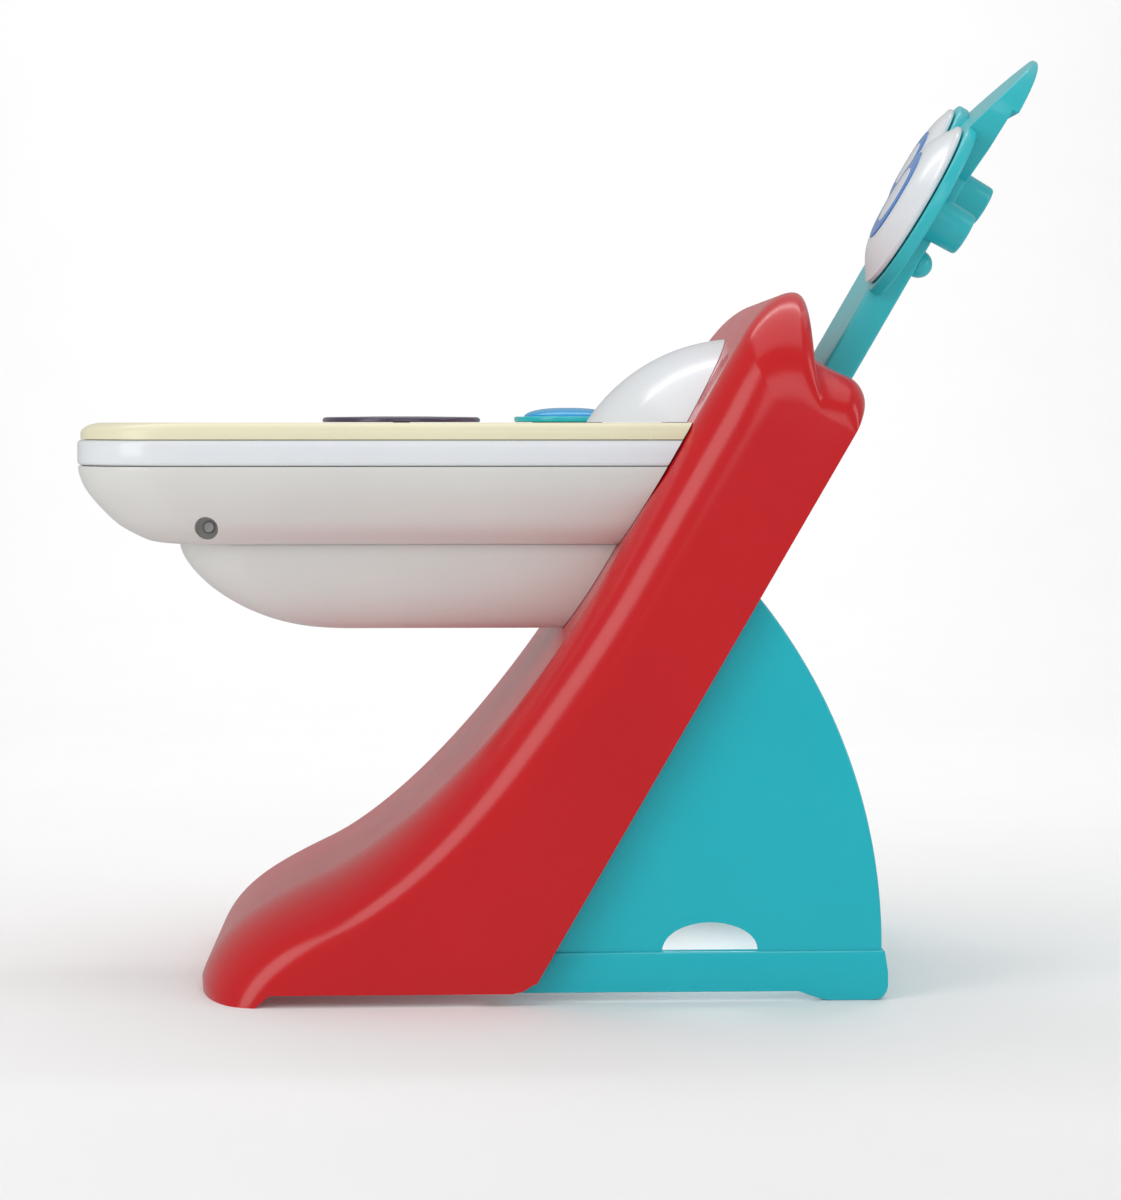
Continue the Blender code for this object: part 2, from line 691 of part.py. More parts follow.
def across_rod(radius, side, y0, y1):
    """A rod across the tray at the screw pocket, between two distances from the middle."""
    turn = Matrix.Rotation(-side * math.pi / 2, 4, "X")
    return placed(moved(rod(radius, y0, y1, 20), turn), POCKET[0], 0, POCKET[1])


def tray_bowl():
    shell = cut(loft(bowl_levels(0, 0, 0)), loft(bowl_levels(TRAY_WALL, TRAY_WALL, 6)))
    opening = plate(tray_outline(BELLY_FRONT + 10, BELLY_HALF - 10, 40, 160), BOWL_LOW - 10, BOWL_LOW + 6)
    shell = cut(shell, opening, column_plane())
    for side in (-1, 1):
        cup = combined(across_rod(POCKET_RADIUS + 2, side, POCKET_FLOOR - 3, 140), "INTERSECT",
                       loft(bowl_levels(0.5, 0.5, 0)))
        shell = cut(add(shell, cup), across_rod(POCKET_RADIUS, side, POCKET_FLOOR, 180),
                    across_rod(2.1, side, POCKET_FLOOR - 10, POCKET_FLOOR + 5))
    return piece("tray_bowl", shell, "shell_grey")


def tray_belly():
    shell = cut(loft(belly_levels(0, 0, 0)), loft(belly_levels(TRAY_WALL, TRAY_WALL, 6)))
    hatch = box((DOOR_CENTRE[0] - DOOR_SIZE[0] / 2, DOOR_CENTRE[0] + DOOR_SIZE[0] / 2),
                (-DOOR_SIZE[1] / 2, DOOR_SIZE[1] / 2), (BELLY_LOW - 5, BELLY_LOW + 8))
    return piece("tray_belly", cut(shell, column_plane(), hatch), "shell_grey")


def tray_bracket():
    bracket = leaned(box((-COLUMN_FRONT - 5, -COLUMN_FRONT - 2 * GAP), (-104, 104), (276, 330)))
    holes = [on_plank(rod(2.6, COLUMN_FRONT - 5, COLUMN_FRONT + 9, 12), y, t) for y, t in TRAY_SCREWS]
    return piece("tray_bracket", cut(bracket, *holes), "black")


def tray_screws():
    for index, (y, t) in enumerate(TRAY_SCREWS, 1):
        head = COLUMN_FRONT - WALL - GAP
        profile = [(0, head - 2.5), (4.5, head - 2.5), (4.5, head), (2.2, head), (2.2, head + 15), (0, head + 17)]
        piece(f"tray_screw_{index}", on_plank(turned(profile, 12), y, t), "steel")


def bowl_screws():
    """Screws at the bottom of the two side pockets, which hold the bowl to the rim."""
    for name, side in (("bowl_screw_near", -1), ("bowl_screw_far", 1)):
        head = POCKET_FLOOR + GAP
        profile = [(0, head - 15), (1.8, head - 13), (1.8, head), (4.0, head), (4.0, head + 2.2), (0, head + 2.2)]
        turn = Matrix.Rotation(-side * math.pi / 2, 4, "X")
        piece(name, placed(moved(turned(profile, 12), turn), POCKET[0], 0, POCKET[1]), "steel")


def battery_door():
    x0, x1 = DOOR_CENTRE[0] - DOOR_SIZE[0] / 2 + GAP, DOOR_CENTRE[0] + DOOR_SIZE[0] / 2 - GAP
    half = DOOR_SIZE[1] / 2 - GAP
    door = box((x0, x1), (-half, half), (BELLY_LOW, BELLY_LOW + 2.4))
    screw_x = x0 + 5
    hole = placed(rod(2.1, 220, 250, 12), screw_x, 0)
    piece("battery_door", cut(door, hole), "shell_grey")
    profile = [(0, BELLY_LOW - 1.6), (3.4, BELLY_LOW - 1.6), (3.4, BELLY_LOW - GAP), (1.8, BELLY_LOW - GAP),
               (1.8, BELLY_LOW + 8), (0, BELLY_LOW + 9)]
    piece("battery_door_screw", placed(turned(profile, 12), screw_x, 0), "steel")


CELL_RADIUS = 7.1
CELL_HALF = 25.0
CELL_PLACES = [DOOR_CENTRE[0] + 4 + 15.4 * i for i in (-1, 0, 1)]


def batteries():
    z = BELLY_LOW + 4 + CELL_RADIUS
    for index, x in enumerate(CELL_PLACES, 1):
        profile = [(0, -CELL_HALF), (CELL_RADIUS, -CELL_HALF), (CELL_RADIUS, CELL_HALF - 1.2),
                   (2.6, CELL_HALF - 1.2), (2.6, CELL_HALF), (0, CELL_HALF)]
        cell = moved(turned(profile, 16), Matrix.Rotation(-math.pi / 2, 4, "X"))
        piece(f"battery_cell_{index}", placed(cell, x, 0, z), "blue")
    for name, side in (("battery_contact_near", -1), ("battery_contact_far", 1)):
        y = sorted((side * (CELL_HALF + 0.4), side * (CELL_HALF + 1.2)))
        strip = box((CELL_PLACES[0] - 5, CELL_PLACES[2] + 5), y, (z - 5, z + 5))
        piece(name, strip, "steel")


def battery_tray():
    """The open box over the hatch that holds the cells."""
    z0 = BELLY_LOW + TRAY_WALL + GAP
    z1 = BELLY_LOW + 24
    x0, x1 = CELL_PLACES[0] - 10, CELL_PLACES[2] + 10
    outer = box((x0, x1), (-31, 31), (z0, z1))
    inner = box((x0 + 2, x1 - 2), (-28, 28), (z0 - 5, z1 - 2.5))
    return piece("battery_tray", cut(outer, inner), "black")


def circuit_board():
    board = box((-190, -90), (-45, 45), (BOWL_LOW + 12, BOWL_LOW + 13.6))
    chips = [box((-150, -130), (-12, 12), (BOWL_LOW + 13.5, BOWL_LOW + 16.5)),
             box((-115, -103), (10, 30), (BOWL_LOW + 13.5, BOWL_LOW + 18))]
    return piece("circuit_board", add(board, *chips), "green")


# ---------------------------------------------------------------- things on the tray

def record_disc():
    low = DECK_TOP + GAP
    profile = [(0, low), (DISC_RADIUS, low), (DISC_RADIUS, low + 1.8), (DISC_RADIUS - 1.5, low + 3.4),
               (20, low + 3.9), (17, low + 3.2), (0, low + 3.2)]
    stem = rod(DISC_HOLE - GAP, low - 9, low + 1, 24)
    disc = placed(add(turned(profile, 48), stem), *DISC_CENTRE)
    piece("record_disc", disc, "purple", (*DISC_CENTRE, low))
    clip = placed(rod(DISC_HOLE + 3, low - 9 - 3, low - 9 - GAP, 24), *DISC_CENTRE)
    piece("disc_clip", clip, "white", (*DISC_CENTRE, low))


def drum():
    low = DECK_TOP + GAP
    ring = tube(PAD_RADIUS + GAP, PAD_RADIUS + 7, low, low + 4, 40)
    piece("drum_ring", placed(ring, *PAD_CENTRE), "teal")
    rim = low + PAD_TRAVEL + GAP
    profile = [(0, rim + 7), (PAD_RADIUS * 0.35, rim + 6.6), (PAD_RADIUS * 0.7, rim + 4.8), (PAD_RADIUS - 1, rim + 2),
               (PAD_RADIUS, rim), (PAD_RADIUS - 2, rim), (PAD_RADIUS - 6, rim), (PAD_RADIUS - 6, rim - 12),
               (PAD_RADIUS - 8, rim - 12), (PAD_RADIUS - 8, rim - 1), (0, rim - 1)]
    pad = placed(turned(list(reversed(profile)), 40), *PAD_CENTRE)
    piece("drum_pad", pad, "blue", (*PAD_CENTRE, low))
    spring = placed(coil(12, 0.8, BOWL_LOW + 42, rim - 1.5, 4), *PAD_CENTRE)
    piece("drum_spring", spring, "steel")
    low_seat = BOWL_LOW + TRAY_WALL + GAP
    seat = placed(turned([(0, low_seat), (5, low_seat), (5, BOWL_LOW + 36), (15, BOWL_LOW + 39),
                          (15, BOWL_LOW + 41.6), (0, BOWL_LOW + 41.6)], 24), *PAD_CENTRE)
    piece("drum_spring_seat", seat, "shell_grey")


def dome_body(radius):
    bm = bmesh.new()
    bmesh.ops.create_uvsphere(bm, u_segments=40, v_segments=24, radius=radius)
    return placed(bm, *DOME_CENTRE)


def light_dome():
    deck_cut = box((-200, 400), (-200, 200), (0, DECK_TOP + GAP))
    dome = cut(dome_body(DOME_RADIUS), deck_cut, column_plane(), dome_body(DOME_RADIUS - 2.5))
    piece("light_dome", dome, "white")
    board = box((38, 66), (-30, 30), (DECK_TOP + GAP, DECK_TOP + 2))
    lamps = [placed(turned([(0, DECK_TOP + 1.5), (2.5, DECK_TOP + 1.5), (2.5, DECK_TOP + 5), (1.6, DECK_TOP + 7),
                            (0, DECK_TOP + 7.4)], 12), 52, y) for y in (-20, 0, 20)]
    piece("lamp_board", add(board, *lamps), "green")


# ---------------------------------------------------------------- front face

def speaker():
    front = COLUMN_FRONT - WALL - GAP
    profile = [(0, front - 17), (11, front - 17), (11, front - 10), (20, front - 4), (21.5, front - 3.5),
               (21.5, front), (18.5, front), (8, front - 6), (0, front - 5)]
    piece("speaker", on_plank(turned(profile, 32), *GRILLE_CENTRE), "black")
    ring = tube(12, 26, front - 22, front - 17 - GAP, 28)
    piece("speaker_retainer", on_plank(ring, *GRILLE_CENTRE), "white")


def power_switch():
    y, t = SWITCH_CENTRE
    inside = -(COLUMN_FRONT - WALL - GAP)
    knob = leaned(box((-COLUMN_FRONT - 3, inside + 1), (y - 5, y + 5), (t - 12, t)))
    slider = leaned(box((inside, inside + 2.5), (y - 10, y + 10), (t - 17, t + 5)))
    ridges = [leaned(box((-COLUMN_FRONT - 4, -COLUMN_FRONT - 2.5), (y - 5, y + 5), (t - z, t - z + 1.4)))
              for z in (10.0, 7.0, 4.0)]
    made = add(knob, slider, *ridges)
    return piece("power_switch", made, "blue", lean_point(COLUMN_FRONT, t, y))


# ---------------------------------------------------------------- sign plank

def circle(cy, ct, radius, count=36):
    points = []
    for i in range(count):
        angle = 2 * math.pi * i / count
        points.append((cy + radius * math.cos(angle), ct + radius * math.sin(angle)))
    return points


def upright_plate(outline, n_back, n_front):
    """An outline of (y, t) points drawn out between two distances N."""
    bm = plate(outline, n_back, n_front)
    swap = Matrix(((0, 0, -1, 0), (1, 0, 0, 0), (0, 1, 0, 0), (0, 0, 0, 1)))
    moved(bm, LEAN_MATRIX @ swap)
    bmesh.ops.recalc_face_normals(bm, faces=bm.faces)
    return bm


def plank_top():
    """The leaf at the plank's upper end, as (y, t) points."""
    points = [(-58.0, 588.0), (58.0, 588.0)]
    points += bezier((78.0, 612.0), (88.0, 644.0), (60.0, 679.0), (0.0, 689.5), 8)
    points += bezier((0.0, 689.5), (-50.0, 687.0), (-86.0, 664.0), (-84.0, 632.0), 8)
    return points + [(-84.0, 632.0), (-78.0, 612.0)]


def boss(spin):
    profile = [(0, spin["boss_end"]), (BOSS_RADIUS - 1.5, spin["boss_end"]), (BOSS_RADIUS, spin["boss_end"] + 1.5),
               (BOSS_RADIUS + 1, PLANK_FRONT - 4), (0, PLANK_FRONT - 4)]
    return on_plank(turned(profile, 28), spin["y"], spin["t"])


def hollow_boss(spin):
    """Room inside the boss for the axle's retaining cap."""
    return on_plank(rod(BOSS_RADIUS - 3.5, spin["boss_end"] + 3, PLANK_BACK + 6, 24), spin["y"], spin["t"])


def sign_plank():
    stem = upright_plate([(-PLANK_HALF, PLANK_ROOT), (PLANK_HALF, PLANK_ROOT), (PLANK_HALF, 602),
                          (-PLANK_HALF, 602)], PLANK_BACK, PLANK_FRONT)
    lower = upright_plate(circle(LOWER_SPINNER["y"], LOWER_SPINNER["t"], LOWER_SPINNER["radius"] + 4),
                          PLANK_FRONT - 8, PLANK_FRONT)
    upper = upright_plate(circle(UPPER_SPINNER["y"], UPPER_SPINNER["t"], UPPER_SPINNER["radius"] + 5),
                          PLANK_FRONT - 8, PLANK_FRONT)
    leaf = upright_plate(plank_top(), LEAF_BACK, PLANK_FRONT - 0.5)
    taper_back = leaned(moved(box((-120, 0), (-160, 160), (0, 90)),
                              Matrix.Translation((-PLANK_FRONT, 0, 612)) @ Matrix.Rotation(math.radians(16.5), 4, "Y")))
    step = leaned(box((-PLANK_BACK, 0), (-160, 160), (560, LEAF_LOW)))
    leaf = cut(leaf, taper_back, step)
    plank = add(stem, lower, upper, leaf, boss(LOWER_SPINNER), boss(UPPER_SPINNER))
    tools = []
    for spin in (LOWER_SPINNER, UPPER_SPINNER):
        tools.append(hollow_boss(spin))
        tools.append(on_plank(rod(AXLE_RADIUS + GAP, spin["boss_end"] + 2, 80, 20), spin["y"], spin["t"]))
    clamp_holes = [on_plank(rod(2.1, PLANK_BACK + 6, 90, 12), y, 397) for y in (-30, 30)]
    return piece("sign_plank", cut(plank, *tools, *clamp_holes), "teal")


def plank_cap():
    """The small round-ended cap low on the plank's back."""
    back = PLANK_BACK - GAP
    profile = [(0, back - 10), (4, back - 9.3), (7, back - 7), (9, back - 3), (9.4, back), (0, back)]
    return piece("plank_cap", on_plank(turned(profile, 24), -46, 527), "teal")


def spinners():
    for name, spin in (("lower", LOWER_SPINNER), ("upper", UPPER_SPINNER)):
        seat, radius, dome = spin["seat"], spin["radius"], spin["dome"]
        edge = 3.0
        profile = [(0, seat + 1.5), (radius - 5, seat + 1.5), (radius - 5, seat), (radius - 1, seat),
                   (radius, seat + edge)]
        for i in range(1, 7):
            share = i / 6
            r = radius - 1.5 - (radius * 0.45 - 1.5) * share
            profile.append((r, seat + edge + (dome - edge) * math.sin(math.pi / 2 * share)))
        profile.append((radius * 0.55, seat + dome - 1.0))
        profile.append((0, seat + dome - 1.0))
        origin = lean_point(seat, spin["t"], spin["y"])
        bore = rod(AXLE_RADIUS + GAP, 0, seat + dome - 4, 20)
        body = cut(turned(profile, 40), bore)
        piece(name + "_spinner", on_plank(body, spin["y"], spin["t"]), "white", origin)
        face = turned([(0, seat + dome - 1 + GAP), (radius * 0.55 - GAP, seat + dome - 1 + GAP),
                       (radius * 0.55 - GAP, seat + dome + 0.6), (radius * 0.4, seat + dome + 1.4),
                       (0, seat + dome + 1.6)], 40)
        piece(name + "_spinner_face", on_plank(face, spin["y"], spin["t"]), "blue", origin)
        axle = rod(AXLE_RADIUS, spin["boss_end"] + 5.5, seat + dome - 4 - GAP, 20)
        collar = rod(BOSS_RADIUS - 5, spin["boss_end"] + 5, spin["boss_end"] + 9, 24)
        piece(name + "_spinner_axle", on_plank(add(axle, collar), spin["y"], spin["t"]), "steel", origin)


def plank_clamp():
    clamp = leaned(box((-PLANK_FRONT - 9, -PLANK_FRONT - GAP), (-50, 50), (389, 405)))
    holes = [on_plank(rod(2.1, PLANK_FRONT - 5, PLANK_FRONT + 20, 12), y, 397) for y in (-30, 30)]
    piece("plank_clamp", cut(clamp, *holes), "black")
    for name, y in (("plank_screw_near", -30), ("plank_screw_far", 30)):
        head = PLANK_FRONT + 9 + GAP
        profile = [(0, head + 2.5), (4, head + 2.5), (4, head), (1.8, head), (1.8, head - 20), (0, head - 21)]
        piece(name, on_plank(turned(list(reversed(profile)), 12), y, 397), "steel")


def build():
    clear_scene()
    pedestal_shell()
    back_cover()
    cover_screws()
    lock_knob()
    rear_leg()
    guide_channels()
    tray_deck()
    tray_rim()
    tray_bowl()
    tray_belly()
    tray_bracket()
    tray_screws()
    bowl_screws()
    battery_door()
    batteries()
    battery_tray()
    circuit_board()
    record_disc()
    drum()
    light_dome()
    speaker()
    power_switch()
    sign_plank()
    plank_cap()
    spinners()
    plank_clamp()


build()
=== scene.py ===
"""Toddler activity stand: finished mouldings, plastics, studio and camera around the CAD frame.

Sizes are written in millimetres and turned into metres when a piece is finished.
The pedestal and the plank lean 30 degrees. A point on them is given by N, its distance in front,
and T, its distance up the slope.
"""

import json
import math

import bmesh
import bpy
from mathutils import Matrix, Vector

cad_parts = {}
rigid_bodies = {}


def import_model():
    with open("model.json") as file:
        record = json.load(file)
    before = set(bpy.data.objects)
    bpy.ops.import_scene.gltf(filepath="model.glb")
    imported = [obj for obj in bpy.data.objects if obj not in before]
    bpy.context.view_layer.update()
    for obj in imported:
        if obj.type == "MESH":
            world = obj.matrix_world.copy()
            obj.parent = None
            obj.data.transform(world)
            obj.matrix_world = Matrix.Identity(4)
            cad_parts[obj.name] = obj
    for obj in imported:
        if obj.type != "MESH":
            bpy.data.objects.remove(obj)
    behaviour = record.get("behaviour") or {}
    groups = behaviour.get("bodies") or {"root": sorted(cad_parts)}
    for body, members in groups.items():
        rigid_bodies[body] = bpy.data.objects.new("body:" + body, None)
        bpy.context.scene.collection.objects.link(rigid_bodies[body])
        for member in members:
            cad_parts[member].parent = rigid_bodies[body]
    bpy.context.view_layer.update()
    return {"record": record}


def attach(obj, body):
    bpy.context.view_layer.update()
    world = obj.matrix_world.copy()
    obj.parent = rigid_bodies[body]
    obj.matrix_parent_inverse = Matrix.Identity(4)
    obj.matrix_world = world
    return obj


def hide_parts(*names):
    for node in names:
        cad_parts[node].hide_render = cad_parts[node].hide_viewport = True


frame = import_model()

METRE = 0.001
GAP = 0.3
LEAN = math.radians(30)
LEAN_MATRIX = Matrix.Rotation(LEAN, 4, "Y")

# Pedestal
COLUMN_FRONT = 119.0
COLUMN_REAR = 29.0
COLUMN_TOP = 416.0
SIDE_TOP = 399.0
SHOULDER = 38.0
PEDESTAL_HALF = 175.0
FLAT_HALF = 137.0
TOE_FLAT_HALF = 85.0
CREST_FLAT_HALF = 82.0
WALL = 4.0
UNDERSIDE = 8.0
COVER_LOW = 287.0

# Rear leg
LEG_HALF = 160.0
LEG_WALL = 3.5
FLANGE_TOP = 32.0
SLIDE_DIR = Vector((-0.30, 0, -0.954)).normalized()
SLIDE_TRAVEL = 75.0
APRON_LOW_T = 282.0
APRON_TOP_T = 382.0
GUIDE_FORWARD = 9.0
LEG_EDGE = 9.0

# Tray
DECK_TOP = 368.0
DECK_LOW = 357.3
RIM_LOW = 340.3
BOWL_LOW = 289.0
BELLY_LOW = 232.0
TRAY_FRONT = -321.0
TRAY_HALF = 147.0
TRAY_CORNER = 62.0
TRAY_WALL = 3.0
TRAY_PAST = 160.0
DECK_INSET = 2.0
DECK_SIDE_INSET = 1.0
BELLY_FRONT = -258.0
BELLY_HALF = 100.0
POCKET = (-235.0, 300.5)
POCKET_RADIUS = 7.5
POCKET_FLOOR = 103.0
DOOR_CENTRE = (-112.0, 0.0)
DOOR_SIZE = (62.0, 84.0)

# Sign plank
PLANK_FRONT = 56.0
PLANK_BACK = 35.5
LEAF_BACK = 31.0
LEAF_LOW = 640.0
PLANK_ROOT = 389.0
PLANK_HALF = 58.0
LOWER_SPINNER = {"y": -60.0, "t": 557.0, "radius": 59.0, "seat": 57.0, "dome": 15.0, "boss_end": 18.5}
UPPER_SPINNER = {"y": 47.0, "t": 595.0, "radius": 47.0, "seat": 57.0, "dome": 8.0, "boss_end": 4.5}
BOSS_RADIUS = 14.5
AXLE_RADIUS = 4.0

# Things on the tray and on the face
DISC_CENTRE = (-112.0, 0.0)
DISC_RADIUS = 53.5
DISC_HOLE = 6.0
PAD_CENTRE = (5.0, 100.0)
PAD_RADIUS = 31.0
PAD_TRAVEL = 3.0
DOME_CENTRE = (118.0, 0.0, 301.0)
DOME_RADIUS = 124.0
GRILLE_CENTRE = (-106.0, 388.0)
SWITCH_CENTRE = (106.0, 390.0)

# Lock knob
LOCK_T = 299.0
LOCK_NECK = 5.0
LOCK_TRAVEL = 4.5

# Fasteners, as (y, t)
COVER_SCREWS = [(y, 403.0) for y in (-122.0, -78.0, 78.0, 122.0)]
COVER_SCREW_RADIUS = 1.9
TRAY_SCREWS = [(y, t) for y in (-80.0, 80.0) for t in (285.0, 322.0)]
PLANK_SCREWS = [(y, 397.0) for y in (-30.0, 30.0)]


# ---------------------------------------------------------------- finishes

def tint(name, colour, second, roughness, peel=0.06, coat=0.3, mottle=9.0, through=0.0):
    """A moulded plastic: two near shades, a slightly uneven gloss and a faint orange peel."""
    made = bpy.data.materials.new(name)
    made.use_nodes = True
    nodes, links = made.node_tree.nodes, made.node_tree.links
    shader = nodes["Principled BSDF"]
    place = nodes.new("ShaderNodeTexCoord")
    cloud = nodes.new("ShaderNodeTexNoise")
    cloud.inputs["Scale"].default_value = mottle
    cloud.inputs["Detail"].default_value = 4
    links.new(place.outputs["Object"], cloud.inputs["Vector"])
    shades = nodes.new("ShaderNodeValToRGB")
    shades.color_ramp.elements[0].position = 0.3
    shades.color_ramp.elements[0].color = (*colour, 1)
    shades.color_ramp.elements[1].position = 0.7
    shades.color_ramp.elements[1].color = (*second, 1)
    links.new(cloud.outputs["Fac"], shades.inputs["Fac"])
    links.new(shades.outputs["Color"], shader.inputs["Base Color"])
    smear = nodes.new("ShaderNodeTexNoise")
    smear.inputs["Scale"].default_value = 35
    smear.inputs["Detail"].default_value = 6
    links.new(place.outputs["Object"], smear.inputs["Vector"])
    gloss = nodes.new("ShaderNodeMapRange")
    gloss.inputs["To Min"].default_value = roughness * 0.8
    gloss.inputs["To Max"].default_value = roughness * 1.25
    links.new(smear.outputs["Fac"], gloss.inputs["Value"])
    links.new(gloss.outputs["Result"], shader.inputs["Roughness"])
    grain = nodes.new("ShaderNodeTexNoise")
    grain.inputs["Scale"].default_value = 520
    grain.inputs["Detail"].default_value = 2
    links.new(place.outputs["Object"], grain.inputs["Vector"])
    bump = nodes.new("ShaderNodeBump")
    bump.inputs["Strength"].default_value = peel
    bump.inputs["Distance"].default_value = 0.0004
    links.new(grain.outputs["Fac"], bump.inputs["Height"])
    links.new(bump.outputs["Normal"], shader.inputs["Normal"])
    shader.inputs["Coat Weight"].default_value = coat
    shader.inputs["Coat Roughness"].default_value = 0.06
    shader.inputs["Subsurface Weight"].default_value = through
    shader.inputs["Subsurface Scale"].default_value = 0.004
    return made


def brushed(name, colour, roughness):
    """Plated steel, matt in patches."""
    made = tint(name, colour, [c * 0.8 for c in colour], roughness, peel=0.2, coat=0.0, mottle=60)
    made.node_tree.nodes["Principled BSDF"].inputs["Metallic"].default_value = 1.0
    return made


RED = tint("red_gloss", (0.60, 0.005, 0.009), (0.56, 0.004, 0.008), 0.2, coat=0.0)
TEAL = tint("teal_gloss", (0.0, 0.47, 0.56), (0.0, 0.50, 0.585), 0.2, coat=0.4)
TEAL_PLANK = tint("teal_plank", (0.02, 0.50, 0.56), (0.03, 0.53, 0.59), 0.3, coat=0.2, peel=0.1)
CREAM = tint("cream_deck", (0.84, 0.80, 0.56), (0.80, 0.76, 0.53), 0.32, coat=0.15, peel=0.12)
WHITE = tint("white_gloss", (0.80, 0.83, 0.86), (0.77, 0.80, 0.84), 0.22, coat=0.35, through=0.03)
SHELL = tint("shell_off_white", (0.74, 0.74, 0.71), (0.70, 0.70, 0.68), 0.3, coat=0.2, peel=0.1, through=0.03)
PURPLE = tint("purple_disc", (0.075, 0.052, 0.10), (0.06, 0.042, 0.08), 0.28, coat=0.3)
LAVENDER = tint("lavender_label", (0.34, 0.29, 0.46), (0.31, 0.26, 0.42), 0.3, coat=0.2)
BLUE = tint("blue_gloss", (0.0, 0.38, 0.75), (0.0, 0.34, 0.70), 0.22, coat=0.35)
BLUE_RING = tint("blue_ring", (0.01, 0.20, 0.62), (0.01, 0.17, 0.56), 0.25, coat=0.3)
BLACK = tint("black_textured", (0.022, 0.022, 0.024), (0.03, 0.03, 0.032), 0.55, coat=0.0, peel=0.5,
             mottle=80)
BOARD = tint("green_board", (0.012, 0.13, 0.045), (0.016, 0.16, 0.055), 0.4, coat=0.2, peel=0.25,
             mottle=140)
CELL = tint("cell_sleeve", (0.03, 0.045, 0.14), (0.025, 0.035, 0.12), 0.3, coat=0.3, mottle=40)
STEEL = brushed("plated_steel", (0.62, 0.62, 0.64), 0.32)


# ---------------------------------------------------------------- shaping

def lean_xz(n, t):
    p = LEAN_MATRIX @ Vector((-n, 0, t))
    return (p.x, p.z)


def bezier(p0, p1, p2, p3, count):
    """Points along a cubic curve, without its last point."""
    out = []
    for i in range(count):
        u = i / count
        v = 1 - u
        weights = (v ** 3, 3 * v * v * u, 3 * v * u * u, u ** 3)
        out.append(tuple(sum(w * p[k] for w, p in zip(weights, (p0, p1, p2, p3))) for k in (0, 1)))
    return out


def straight(start, end, count):
    """Points along a line, without its last point."""
    return [tuple(a + (b - a) * i / count for a, b in zip(start, end)) for i in range(count)]


def arc_through(p0, p1, p2, count):
    """Points on the circle through three points, from p0 to p2."""
    (ax, ay), (bx, by), (cx, cy) = p0, p1, p2
    d = 2 * (ax * (by - cy) + bx * (cy - ay) + cx * (ay - by))
    a2, b2, c2 = ax * ax + ay * ay, bx * bx + by * by, cx * cx + cy * cy
    ux = (a2 * (by - cy) + b2 * (cy - ay) + c2 * (ay - by)) / d
    uy = (a2 * (cx - bx) + b2 * (ax - cx) + c2 * (bx - ax)) / d
    radius = math.hypot(ax - ux, ay - uy)
    start = math.atan2(ay - uy, ax - ux)
    end = math.atan2(cy - uy, cx - ux)
    angles = [start + (end - start) * i / count for i in range(count + 1)]
    return [(ux + radius * math.cos(a), uy + radius * math.sin(a)) for a in angles]


def offset_line(points, distance):
    """An open polyline moved to the right of its own direction by a distance."""
    shifted = []
    for i, (x, z) in enumerate(points):
        before = points[max(i - 1, 0)]
        after = points[min(i + 1, len(points) - 1)]
        dx, dz = after[0] - before[0], after[1] - before[1]
        length = math.hypot(dx, dz)
        shifted.append((x + distance * dz / length, z - distance * dx / length))
    return shifted


def closed_loop(bm, points):
    verts = [bm.verts.new(p) for p in points]
    return [bm.edges.new((verts[i - 1], verts[i])) for i in range(len(verts))]


def skin(rings):
    """A closed solid through rings of points, bridged one to the next."""
    bm = bmesh.new()
    loops = [closed_loop(bm, ring) for ring in rings]
    for low, high in zip(loops, loops[1:]):
        bmesh.ops.bridge_loops(bm, edges=low + high)
    for end in (loops[0], loops[-1]):
        bmesh.ops.contextual_create(bm, geom=end)
    bmesh.ops.recalc_face_normals(bm, faces=bm.faces)
    return bm


def drawn_out(points, step):
    """A flat outline of 3-D points drawn out along a step into a closed solid."""
    bm = bmesh.new()
    closed_loop(bm, points)
    bmesh.ops.contextual_create(bm, geom=bm.edges[:])
    grown = bmesh.ops.extrude_face_region(bm, geom=bm.faces[:])
    moving = [v for v in grown["geom"] if isinstance(v, bmesh.types.BMVert)]
    bmesh.ops.translate(bm, vec=step, verts=moving)
    bmesh.ops.recalc_face_normals(bm, faces=bm.faces)
    return bm


def prism(outline, y0, y1):
    return drawn_out([(x, y0, z) for x, z in outline], (0, y1 - y0, 0))


def plate(outline, z0, z1):
    return drawn_out([(x, y, z0) for x, y in outline], (0, 0, z1 - z0))


def upright_plate(outline, n_back, n_front):
    """An outline of (y, t) points drawn out between two distances N."""
    bm = drawn_out([(-n_back, y, t) for y, t in outline], (n_back - n_front, 0, 0))
    return moved(bm, LEAN_MATRIX)


def box(x, y, z):
    bm = bmesh.new()
    bmesh.ops.create_cube(bm, size=1)
    bmesh.ops.scale(bm, vec=(x[1] - x[0], y[1] - y[0], z[1] - z[0]), verts=bm.verts)
    return placed(bm, (x[0] + x[1]) / 2, (y[0] + y[1]) / 2, (z[0] + z[1]) / 2)


def turned(profile, steps=96):
    """A solid of revolution about Z from (radius, z) points that start and end on the axis."""
    bm = bmesh.new()
    verts = [bm.verts.new((max(r, 0.0), 0, z)) for r, z in profile]
    edges = [bm.edges.new(pair) for pair in zip(verts, verts[1:])]
    bmesh.ops.spin(bm, geom=verts + edges, axis=(0, 0, 1), cent=(0, 0, 0), angle=2 * math.pi,
                   steps=steps, use_merge=True)
    bmesh.ops.remove_doubles(bm, verts=bm.verts, dist=1e-3)
    bmesh.ops.recalc_face_normals(bm, faces=bm.faces)
    return bm


def rod(radius, z0, z1, steps=48):
    return turned([(0, z0), (radius, z0), (radius, z1), (0, z1)], steps)


